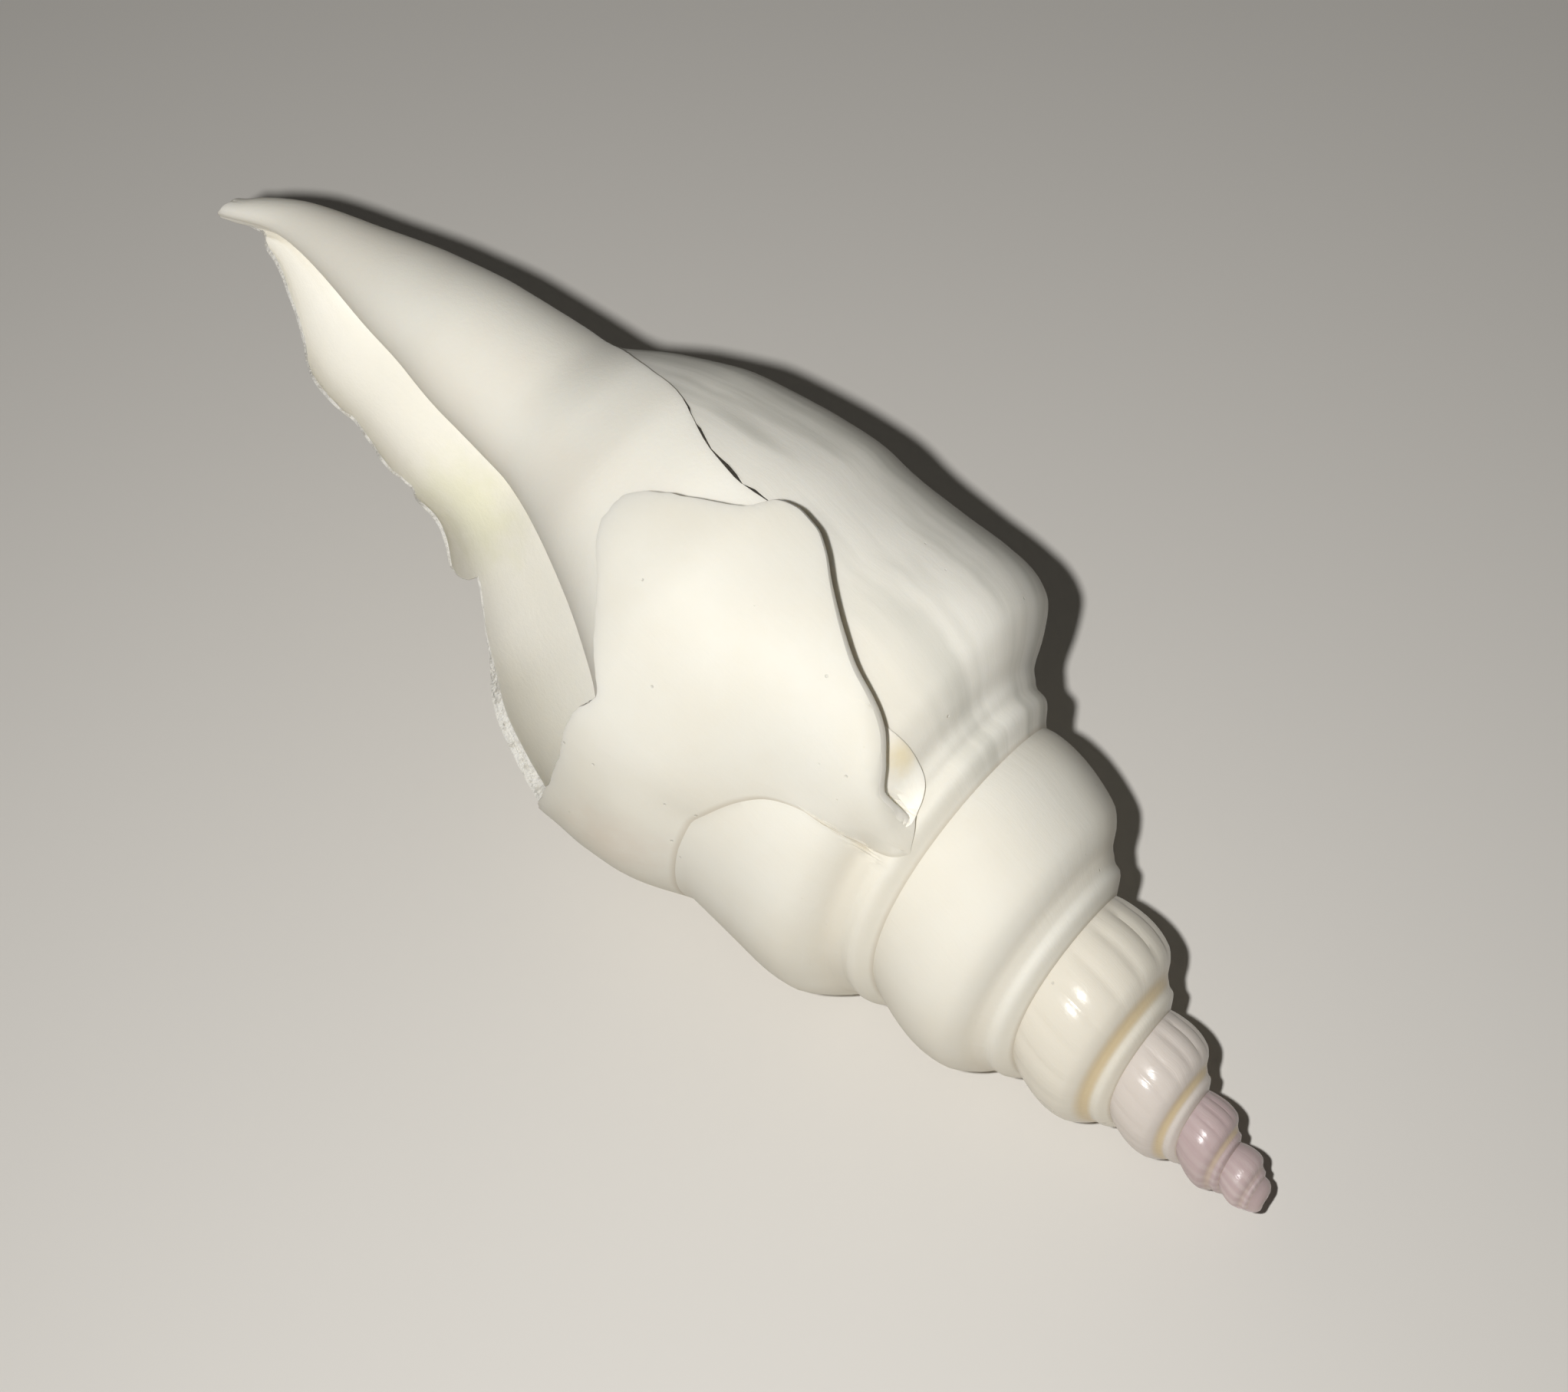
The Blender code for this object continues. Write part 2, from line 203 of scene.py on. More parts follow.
@dataclass(frozen=True)
class Whorls:
    """Shape of the outside: the spire and the last whorl."""

    whorl_ratio: float = 0.70
    suture_at_90: float = 25.0
    suture_slope: float = 0.333
    suture_offset: float = 1.165
    last_flare: float = 0.4
    flare_span: Pair = (21, 25)
    early_span: Pair = (0, 9)
    suture_tilt: float = 0.06
    tilt_fades: Pair = (180, 280)
    bulge: float = 0.23
    bulge_skew: float = 0.8
    bulge_power: float = 0.9
    band_level: float = 0.45
    band_span: Pair = (0.1, 0.4)
    band_fades: Pair = (100, 230)
    last_angle: float = 355.0
    turns: float = 6.25
    crowding: float = 0.66

    tip_at: float = 69.8
    suture_sag: float = 0.9
    sag_angles: Pair = (90, 270)
    arc_per_degree: float = 0.18
    climb_span: Pair = (290, 420)
    climb_joins: Pair = (290, 305)
    climb_step: float = 0.25
    join_angles: Pair = (-200, -90)
    shoulder_span: float = 0.6
    shoulder_power: float = 2.2
    under_angles: Pair = (240, 300)
    canal_span: Pair = (44, 54)
    left_flare: float = 1.05
    left_span: Pair = (49, 54)
    left_angles: Pair = (180, 260)
    left_fades: Pair = (62, 67)
    fill: float = 1.5
    fill_span: Pair = (43.5, 48)
    fill_angles: Pair = (270, 325)
    fill_fades: Pair = (58, 65)
    fill_loss: float = 0.8

    right_angles: Pair = (20, 60)
    right_fades: Pair = (110, 170)
    right_side: Outline = Outline((
        (24, 0), (26.5, 0.3), (29.5, 0.8), (32, 0.5), (34.5, 0), (38, -0.35), (42, -0.35), (46, 0),
    ))
    outline: Outline = Outline((
        (22, 10.9), (30, 11.3), (35, 11.55), (38.5, 11.55), (41.5, 11.0), (45, 9.6), (48.5, 7.5),
        (51.5, 5.35), (54, 4.75), (57, 4.25), (60, 3.75), (64.5, 2.2), (67.3, 1.4), (69, 0.95),
        (69.8, 0.55), (73, 0.5),
    ))
    growth: Outline = Outline((
        (-180, 0.74), (-90, 0.8), (0, 0.89), (90, 1.0), (180, 1.0), (270, 0.98), (330, 1.04),
        (365, 1.13), (480, 1.15),
    ))
    ascent: Outline = Outline((
        (305, 0), (317, 0.15), (323, 0.6), (330.5, 1.3), (335, 1.85), (339, 2.5), (342, 3.3),
        (344.3, 4.3), (345.6, 5.7), (347, 7.0), (349, 7.9), (351.5, 8.4), (355, 8.8),
    ))
    strip_rise: Outline = Outline((
        (-5, 0), (90, 3.4), (200, 7.4), (290, 10.6), (312, 10.8), (325, 9.8), (335, 7.9),
        (340, 6.9), (345, 5.4), (350, 2.9), (355, 0),
    ))
    edge_of_glaze: Outline = Outline((
        (0, 0), (0.013, 6.5), (0.0205, 9), (0.027, 13.5), (0.035, 17), (0.043, 18.8), (0.055, 19.7),
        (0.0675, 19.5), (0.084, 18.6), (0.104, 17.6), (0.15, 20.5), (0.188, 24.2), (0.221, 28.2),
        (0.252, 32.2), (0.28, 34.4), (0.3, 34.6), (0.33, 33.4), (0.36, 32.6), (0.4, 34.5),
        (0.48, 46), (0.535, 54), (0.63, 85), (1.1, 112),
    ))

    def angle_at(self, turns: float) -> float:
        """Growth angle of a column of faces, which crowd near the lip.

        Args:
            turns: how many turns of columns lie between it and the last one.

        Returns:
            The angle.
        """
        crowd = self.crowding * math.sin(2 * math.pi * turns) / (2 * math.pi)
        return self.last_angle - 360 * (turns - crowd)

    @property
    def first_angle(self) -> float:
        """Growth angle of the apex."""
        return self.angle_at(self.turns)

    @property
    def strip_start(self) -> float:
        """Growth angle where the last whorl comes out from under the glaze."""
        return self.last_angle - 360

    def spiral_x(self, angle: float) -> float:
        """Axial place of the undisturbed growth spiral at an angle."""
        lean = self.suture_tilt * math.cos(math.radians(angle)) * (1 - blend(self.tilt_fades, angle))
        return self.suture_at_90 * self.whorl_ratio ** ((90 - angle) / 360) * (1 + lean)

    def suture_x(self, angle: float) -> float:
        """Axial place of the suture, which sags and then climbs to the lip."""
        sag = self.suture_sag * blend(self.sag_angles, angle)
        return self.spiral_x(angle) + sag - self.ascent.at(angle)

    @cached_property
    def climbing_suture(self) -> KDTree:
        """Points of the suture on its climb to the lip, for finding the nearest one.

        Returns:
            The points, by axial place and arc length.
        """
        count = round((self.climb_span[1] - self.climb_span[0]) / self.climb_step)
        tree = KDTree(count)
        for i in range(count):
            angle = self.climb_span[0] + i * self.climb_step
            tree.insert((self.suture_x(angle), angle * self.arc_per_degree, 0), i)
        tree.balance()
        return tree

    def below_suture(self, x: float, angle: float) -> float:
        """Distance from the suture above, square to it where it climbs.

        Args:
            x: axial place.
            angle: growth angle.

        Returns:
            Millimetres, negative above the suture.
        """
        straight = x - self.suture_x(angle)
        share = blend(self.climb_joins, angle)
        if straight <= 0 or share == 0:
            return straight
        away = self.climbing_suture.find((x, angle * self.arc_per_degree, 0))[2]
        return mix(straight, away, share)

    def above_band(self, share: float, angle: float) -> float:
        """Share of the whorl's bulge reached past the level band below the suture.

        Args:
            share: place between the whorl's two sutures.
            angle: growth angle.

        Returns:
            A factor for the bulge.
        """
        level = mix(self.band_level, 1, blend(self.band_fades, angle))
        return mix(level, 1, blend(self.band_span, share))

    def cone_radius(self, x: float) -> float:
        """Radius of the spire at its sutures."""
        flare = self.last_flare * blend(self.flare_span, x)
        return self.suture_slope * x - self.suture_offset * blend(self.early_span, x) + flare

    def suture_radius(self, angle: float) -> float:
        """Radius at the suture, which lies on the whorl before it.

        Args:
            angle: growth angle.

        Returns:
            Its distance from the axis.
        """
        x = self.suture_x(angle)
        if angle <= self.under_angles[0]:
            return self.cone_radius(x)
        return mix(self.cone_radius(x), self.whorl_radius(x, angle - 360), blend(self.under_angles, angle))

    def spire_radius(self, x: float, angle: float) -> float:
        """Radius of a whorl of the spire.

        Args:
            x: axial place.
            angle: growth angle.

        Returns:
            Distance of the surface from the axis.
        """
        top = self.spiral_x(angle)
        bottom = self.spiral_x(angle + 360)
        t = min(1.0, max(0.0, (x - top) / (bottom - top)))
        bulge = self.bulge * math.sin(math.pi * t**self.bulge_skew) ** self.bulge_power
        return self.cone_radius(x) + bulge * (bottom - top) * self.above_band(t, angle)

    def body_radius(self, x: float, angle: float) -> float:
        """Radius of the last whorl, filled up to the glaze where it is broken away.

        Args:
            x: axial place.
            angle: growth angle.

        Returns:
            Distance of the surface from the axis.
        """
        height = self.spiral_x(angle) / self.whorl_ratio - self.spiral_x(angle)
        below = self.below_suture(x, angle)
        t = min(1.0, max(0.0, below / (self.shoulder_span * height)))
        growth = 1 + (self.growth.at(angle) - 1) * (1 - blend(self.canal_span, x))
        full = self.outline.at(x) * growth
        fill = self.fill * blend(self.fill_span, x) * (1 - self.fill_loss * blend(self.fill_fades, x))
        full += fill * blend(self.fill_angles, angle)
        right = blend(self.right_angles, angle) * (1 - blend(self.right_fades, angle))
        full += self.right_side.at(x) * right
        left = self.left_flare * blend(self.left_span, x) * (1 - blend(self.left_fades, x))
        full += left * blend(self.left_angles, angle)
        radius = self.cone_radius(self.suture_x(angle))
        if angle > self.under_angles[0]:
            under = self.whorl_radius(x, angle - 360)
            radius = mix(radius, under, blend(self.under_angles, angle))
        rise = (1 - (1 - t) ** self.shoulder_power) * self.above_band(below / height, angle)
        return radius + (full - radius) * rise

    def whorl_radius(self, x: float, angle: float) -> float:
        """Radius of the outside without its relief.

        Args:
            x: axial place.
            angle: growth angle.

        Returns:
            Distance of the surface from the axis.
        """
        share = blend(self.join_angles, angle)
        if share == 0:
            return self.spire_radius(x, angle)
        if share == 1:
            return self.body_radius(x, angle)
        return mix(self.spire_radius(x, angle), self.body_radius(x, angle), share)

    def glaze_edge(self, x: float) -> float:
        """Growth angle at which the last whorl comes out from under the glaze, at x."""
        start = self.suture_x(self.last_angle)
        return self.last_angle + self.edge_of_glaze.at((x - start) / (self.tip_at - start))


@dataclass(frozen=True)
class Relief:
    """Ribs, cords and gentle folds that stand on the whorls."""

    whorls: Whorls
    cord_share: float = 0.17
    cord_height: float = 0.036
    groove_share: float = 0.12
    groove_depth: float = 0.018
    wide_cord: float = 2.0
    ribs_per_turn: int = 19
    rib_depth: float = 0.034
    rib_groove: float = 1.5
    rib_crest: float = 110.0
    least_rib: float = 0.25
    ribs_begin: Pair = (-1720, -1300)
    ribs_over: Pair = (0.22, 0.5)
    ribs_fade: Pair = (-520, -400)
    crest_power: float = 1.5
    ribs_end: Pair = (1, 0.9)
    fold_height: float = 0.2
    fold_wavelength: float = 24.0
    fold_length: float = 14.0
    fold_seed: float = 3.1
    fold_edge: float = 4.0
    fold_grows: Pair = (-420, -200)
    fold_rests: Pair = (-120, -30)
    last_fades: Pair = (0, 90)
    cord_widens: Pair = (100, 230)
    cord_left: float = 0.3
    cord_ends: Pair = (305, 335)
    evens_out: Pair = (-170, -60)
    drapes_from: float = 300.0
    drape: float = 1.0
    least_height: float = 1e-6

    def height_share(self, x: float, angle: float) -> Pair:
        """Where a point lies on its whorl.

        Args:
            x: axial place.
            angle: growth angle.

        Returns:
            Share of the way from the upper suture to the lower, and the whorl's height.
        """
        whorls = self.whorls
        top = whorls.suture_x(angle)
        real = whorls.suture_x(angle + 360) - top
        even = whorls.spiral_x(angle) * (1 / whorls.whorl_ratio - 1)
        height = mix(real, even, blend(self.evens_out, angle))
        return (x - top) / max(height, self.least_height), height

    def at(self, x: float, angle: float) -> float:
        """Height of the relief.

        Args:
            x: axial place.
            angle: growth angle.

        Returns:
            Millimetres above the plain whorl.
        """
        share, height = self.height_share(x, angle)
        covers = self.over_whorl(x, angle)
        if share <= 0:
            return covers
        last = angle > self.whorls.strip_start
        widened = blend(self.cord_widens, angle)
        place = share / mix(1, self.wide_cord, widened)
        raised = 0.0
        if place < self.cord_share:
            raised = self.cord_height * math.sin(math.pi * place / self.cord_share) ** 2
        elif place < self.cord_share + self.groove_share:
            along = (place - self.cord_share) / self.groove_share
            raised = -self.groove_depth * math.sin(math.pi * along) ** 2
        raised *= mix(1, self.cord_left, widened) * (1 - blend(self.cord_ends, angle))
        over_ribs = blend(self.ribs_over, share) * blend(self.ribs_end, share)
        between = 1 - abs(math.sin(math.radians(angle) * self.ribs_per_turn / 2))
        turned = 0.5 + 0.5 * math.cos(math.radians(angle - self.rib_crest))
        depth = self.rib_depth * mix(self.least_rib, 1, turned**self.crest_power)
        depth *= blend(self.ribs_begin, angle)
        raised -= depth * between**self.rib_groove * over_ribs * (1 - blend(self.ribs_fade, angle))
        fold = noise.noise(Vector((angle / self.fold_wavelength, x / self.fold_length, self.fold_seed)))
        lower_edge = 1.0 if last else min(1.0, max(0.0, 1 - share) * self.fold_edge)
        edge = min(1.0, share * self.fold_edge) * lower_edge
        strength = blend(self.fold_grows, angle) * (1 - blend(self.fold_rests, angle))
        strength += blend(self.last_fades, angle)
        return raised * height + self.fold_height * fold * edge * strength + covers

    def over_whorl(self, x: float, angle: float) -> float:
        """Relief of the whorl underneath that shows through beside the climbing suture.

        Args:
            x: axial place.
            angle: growth angle.

        Returns:
            Millimetres above the plain whorl.
        """
        if angle < self.drapes_from:
            return 0.0
        below = self.whorls.below_suture(x, angle)
        return self.at(x, angle - 360) * blend((self.drape, 0), below)


@dataclass(frozen=True)
class Breakage:
    """The rough edge that the broken wall left."""

    meet: float = 48.6
    outside: float = 3.0
    jag: float = 0.12
    jag_wavelength: float = 7.0
    jag_seeds: Pair = (2.0, 5.0)
    fine_jag: float = 0.5
    fine_jags: float = 3.0
    rim_jag: float = 2.5
    rim_wavelength: float = 0.8
    rim_seed: float = 8.0
    rim_joins: float = 50.0
    roughness: float = 0.07
    grit: float = 0.35
    margin: float = 0.12
    lip_span: Pair = (24.3, 44.0)
    edge: Outline = Outline((
        (243, 48.2), (246, 46.8), (250, 45.3), (257, 43.9), (260.5, 42.5), (261.5, 40.5),
        (263, 39.2), (267, 38.3), (280, 37.9), (294, 37.85), (307, 37.9), (313, 38.05),
        (318, 38.35), (325, 38.6), (329.5, 38.35), (332, 38.3), (334, 38.55), (336.5, 39.15),
        (340, 39.9), (344.2, 40.65), (350, 41.85), (355, 42.95), (359, 43.45), (362.4, 43.6),
        (365.2, 43.45), (367.3, 43.2), (369.4, 42.7), (374.2, 41.25), (378.4, 39.75), (381, 39.3),
        (384, 38.9), (390, 38.4), (415, 38.4),
    ))
    rim: Outline = Outline((
        (48.2, 243), (48.5, 246), (48.75, 258), (49.2, 269), (50.4, 272), (51.8, 272),
        (52.4, 268.5), (53.0, 259), (53.5, 254), (54.1, 256), (54.6, 267), (55.0, 269), (55.8, 263),
        (56.8, 260.5), (57.7, 257.5), (58.0, 259), (58.3, 269), (59.0, 272), (60.2, 271),
        (60.8, 266), (61.7, 258), (62.5, 251), (63.5, 249.5), (64.9, 254), (66.0, 253), (66.8, 251),
        (67.4, 240), (68.2, 205), (73, 190),
    ))

    def edge_x(self, angle: float) -> float:
        """Axial place of the break, with its small jags.

        Args:
            angle: growth angle.

        Returns:
            The axial place.
        """
        broad, fine = self.jag_seeds
        small = self.fine_jag * wander(fine, angle, self.jag_wavelength / self.fine_jags)
        return self.edge.at(angle) + self.jag * (wander(broad, angle, self.jag_wavelength) + small)

    def rim_angle(self, x: float) -> float:
        """Growth angle of the back wall's rim, with its jags.

        Args:
            x: axial place.

        Returns:
            The angle.
        """
        begins = (self.rim.points[0][0], self.rim_joins)
        ragged = wander(self.rim_seed, x, self.rim_wavelength) * blend(begins, x)
        return self.rim.at(x) + self.rim_jag * ragged

    def crumbled(self, x: float, angle: float, radius: float) -> Triple:
        """Moves a point of the broken face a little, so that the face is rough.

        Args:
            x: axial place.
            angle: growth angle.
            radius: distance from the axis.

        Returns:
            The moved place, angle and radius.
        """
        spot = Vector((x, math.radians(angle) * radius, radius)) / self.grit
        off = noise.noise_vector(spot) * self.roughness
        return x + off.x, angle + math.degrees(off.y / radius), radius


@dataclass(frozen=True)
class Hollow:
    """The inside of the last whorl and the columella."""

    whorls: Whorls
    relief: Relief
    wall: float = 0.95
    left_wall: float = 0.62
    left_span: Pair = (260, 320)
    canal_wall: float = 0.5
    thin_span: Pair = (46, 58)
    rim_wall: float = 0.14
    rim_places: Pair = (43.5, 46.5)
    rim_span: Pair = (215, 250)
    glaze: float = 0.3
    front_span: Pair = (36, 41)
    least_gap: float = 0.5
    closing: float = 70.0
    lip_angle: float = 6.0
    open_span: Pair = (36, 40)
    top: float = 1.6
    climb: float = 8.8
    climb_from: float = 305.0
    mouth_top: float = 24.8
    mouth_angle: float = 12.0
    top_tries: int = 5
    cut_end: float = 73.0
    past_edge: float = 14.0

    columella_back: Outline = Outline((
        (30, 8.6), (36, 7.0), (40, 4.0), (44, 2.6), (50, 1.8), (56, 1.2), (60, 0.9), (73, 0.3),
    ))
    columella_left: Outline = Outline((
        (28, 9.4), (34, 9.0), (38, 6.9), (40, 5.2), (43.5, 3.2), (46.5, 2.25), (50, 1.85),
        (54, 1.85), (60, 1.0), (66, 0.5), (73, 0.3),
    ))
    columella_front: Outline = Outline((
        (38, 10.5), (41, 9.8), (45, 8.0), (48.5, 6.0), (51.5, 4.7), (57, 3.5), (60, 2.8), (64, 1.8),
        (68, 0.9), (73, 0.4),
    ))
    end: Outline = Outline(((30, 70), (40, 90), (46, 112), (52, 135), (58, 150), (66, 175), (73, 200)))
    reach: Outline = Outline((
        (24, 385), (30, 389), (41, 402), (46, 416), (50, 432), (54, 452), (60, 466), (73, 482),
    ))
    lip_edge: Outline = Outline((
        (24.5, 356), (24.75, 360.6), (25.2, 361.6), (26.9, 360.6), (27.75, 365), (28.85, 369.8),
        (29.8, 371.7), (31.35, 373.4), (33.1, 376.8), (34.6, 380.6), (36.0, 384.9), (36.9, 386.6),
        (37.8, 386.8), (38.5, 385.8), (39.3, 382.9), (40.1, 380), (44, 379),
    ))

    def floor_radius(self, x: float, angle: float) -> float:
        """Inner side of the hollow: columella, glaze and the whorl underneath.

        Args:
            x: axial place.
            angle: growth angle of the wall above.

        Returns:
            Distance of the surface from the axis.
        """
        turn = angle - 360
        edge = self.whorls.glaze_edge(x) - 360
        if turn >= edge:
            return self.glazed(x, turn)
        under = self.glazed(x, 0)
        front = mix(under, self.columella_front.at(x), blend(self.front_span, x))
        left = self.columella_left.at(x)
        back = self.columella_back.at(x)
        around = ((-270, back), (-180, back), (-90, left), (0, front), (edge, self.glazed(x, edge)))
        return Outline(around).at(turn)

    def glazed(self, x: float, turn: float) -> float:
        """Radius of the glaze on the whorl underneath."""
        return self.whorls.whorl_radius(x, turn) + self.relief.at(x, turn) + self.glaze

    def wall_thickness(self, x: float, angle: float) -> float:
        """Thickness of the last whorl's wall, which thins towards the canal and its rim.

        Args:
            x: axial place.
            angle: growth angle.

        Returns:
            The thickness.
        """
        whole = mix(self.left_wall, self.wall, blend(self.left_span, angle))
        whole = mix(whole, self.canal_wall, blend(self.thin_span, x))
        rim = blend(self.rim_places, x) * blend(self.rim_span, angle) * (1 - blend(self.left_span, angle))
        return mix(whole, self.rim_wall, rim)

    def radii(self, x: float, angle: float) -> Pair:
        """Inner and outer radius of the hollow, equal where it closes.

        Args:
            x: axial place.
            angle: growth angle.

        Returns:
            The two radii.
        """
        opening = blend((0, self.closing), angle - self.end.at(x))
        roof = self.whorls.body_radius(x, angle) - self.wall_thickness(x, angle)
        floor = self.floor_radius(x, angle)
        before_lip = self.lip_edge.at(x) - angle
        open_air = max(1 - blend((0, self.lip_angle), before_lip), blend(self.open_span, x))
        under_wall = min(floor, roof - self.least_gap)
        roof = mix(roof, max(roof, floor + self.least_gap), open_air)
        floor = mix(under_wall, floor, open_air)
        return mix(roof, floor, opening), roof

    def middle_radius(self, x: float, angle: float) -> float:
        """Radius halfway between the hollow's two sides."""
        floor, roof = self.radii(x, angle)
        return (floor + roof) / 2

    def top_x(self, angle: float) -> float:
        """Axial place of the hollow's upper side.

        Args:
            angle: growth angle.

        Returns:
            The axial place.
        """
        grown = min(angle, self.whorls.last_angle)
        climb = max(0.0, (grown - self.climb_from) / (self.whorls.last_angle - self.climb_from))
        steepness = 3 * self.climb * climb**2 / (self.whorls.last_angle - self.climb_from)
        inside = self.whorls.spiral_x(grown) + self.whorls.suture_sag - self.climb * climb**3
        inside += self.top * math.hypot(1, steepness / self.whorls.arc_per_degree)
        mouth = (self.whorls.last_angle, self.whorls.last_angle + self.mouth_angle)
        return mix(inside, self.mouth_top, blend(mouth, angle))

    def spot(self, column: float, row: float) -> Pair:
        """Place on the hollow's sheets.

        Args:
            column: share of the way from the closed end to past the glaze's edge.
            row: share of the way from the hollow's top to past the canal's tip.

        Returns:
            Axial place and growth angle.
        """
        x = self.mouth_top
        for _ in range(self.top_tries):
            x = self.top_x(self.across(x, column))
        x = mix(x, self.cut_end, row)
        return x, self.across(x, column)

    def across(self, x: float, column: float) -> float:
        """Growth angle at a share of the way round the hollow, at x."""
        return mix(self.end.at(x), self.reach.at(x), column)


@dataclass(frozen=True)
class Pose:
    """How the shell's own frame, apex along +X, lies on the table."""

    roll: float = 20.5
    pitch: float = 17.0
    worn_flat: float = 0.2
    side: Outline = Outline((
        (50, 0.0), (57, -0.5), (60, -0.95), (64.5, -1.3), (67, -1.75), (69.8, -3.2), (73, -5.0),
    ))
    drop: Outline = Outline(((46, 0.0), (56, -0.7), (62, -1.8), (69, -3.5), (73, -4.7)))

    def place(self, x: float, angle: float, radius: float) -> Vector:
        """Point in the shell's own frame.

        Args:
            x: axial place.
            angle: growth angle.
            radius: distance from the axis.

        Returns:
            The point, in metres.
        """
        turn = math.radians(angle)
        y = self.side.at(x) + radius * math.sin(turn)
        z = self.drop.at(x) + radius * math.cos(turn)
        return Vector((-x, y, z)) * MM

    @property
    def turned(self) -> Matrix:
        """Rotation from the shell's own frame to the table's."""
        pitch = Matrix.Rotation(math.radians(self.pitch), 4, "Y")
        return pitch @ Matrix.Rotation(math.radians(self.roll), 4, "X")


@dataclass
class Sheets:
    """A mesh in the making, put together from grids that carry growth and finish."""

    shape: bmesh.types.BMesh = field(default_factory=bmesh.new)
    weld: float = 1e-7

    def __post_init__(self) -> None:
        """Gives the mesh the map that the finishes read."""
        self.growth = self.shape.loops.layers.uv.new("growth")

    def add(
        self,
        columns: int,
        rows: int,
        where: Place,
        growth: Spot,
        surface: Surface,
    ) -> None:
        """Adds a grid of faces.

        Args:
            columns: faces in the first direction.
            rows: faces in the second.
            where: point for a share of each direction.
            growth: turn of growth and place across it, for the same shares.
            surface: finish of the faces.
        """
        grid = bmesh.ops.create_grid(self.shape, x_segments=columns, y_segments=rows, size=0.5)
        spots = {vert: (vert.co.x + 0.5, vert.co.y + 0.5) for vert in grid["verts"]}
        grown = {vert: growth(*spot) for vert, spot in spots.items()}
        for face in {face for vert in spots for face in vert.link_faces}:
            face.material_index = surface
            for loop in face.loops:
                loop[self.growth].uv = grown[loop.vert]
        for vert, spot in spots.items():
            vert.co = where(*spot)

    def join(self) -> None:
        """Joins the grids where their edges meet."""
        bmesh.ops.remove_doubles(self.shape, verts=self.shape.verts, dist=self.weld)
        bmesh.ops.dissolve_degenerate(self.shape, edges=self.shape.edges, dist=self.weld)

    def close(self, chosen: Callable[[float], bool], tip: Vector, rings: int, grown: Pair) -> None:
        """Closes an open end with a rounded cap.

        Args:
            chosen: says by its axial place whether an open edge belongs to this end.
            tip: the cap's highest point.
            rings: rows of faces in the cap.
            grown: turn of growth and place across it, for the whole cap.
        """
        ring = [e for e in self.shape.edges if e.is_boundary and chosen(-e.verts[0].co.x / MM)]
        rim = {vert for edge in ring for vert in edge.verts}
        middle = sum((vert.co for vert in rim), Vector()) / len(rim)
        cap = []
        for step in range(1, rings):
            before, turn = math.pi / 2 * (step - 1) / rings, math.pi / 2 * step / rings
            made = bmesh.ops.extrude_edge_only(self.shape, edges=ring)["geom"]
            verts = [item for item in made if isinstance(item, bmesh.types.BMVert)]
            about = Matrix.Translation(-middle.lerp(tip, math.sin(before)))
            narrower = [math.cos(turn) / math.cos(before)] * 3
            higher = (tip - middle) * (math.sin(turn) - math.sin(before))
            bmesh.ops.scale(self.shape, vec=narrower, space=about, verts=verts)
            bmesh.ops.translate(self.shape, vec=higher, verts=verts)
            ring = [item for item in made if isinstance(item, bmesh.types.BMEdge) and item.is_boundary]
            cap += verts
        face = bmesh.ops.contextual_create(self.shape, geom=ring)["faces"][0]
        cap += bmesh.ops.poke(self.shape, faces=[face])["verts"]
        cap[-1].co = tip
        for loop in {loop for vert in cap for face in vert.link_faces for loop in face.loops}:
            loop[self.growth].uv = grown

    def finish(self, name: str) -> bpy.types.Object:
        """Turns the mesh into an object.

        Args:
            name: name of the object.

        Returns:
            The object, in the scene.
        """
        bmesh.ops.recalc_face_normals(self.shape, faces=self.shape.faces)
        mesh = bpy.data.meshes.new(name)
        self.shape.to_mesh(mesh)
        self.shape.free()
        obj = bpy.data.objects.new(name, mesh)
        bpy.context.scene.collection.objects.link(obj)
        return obj


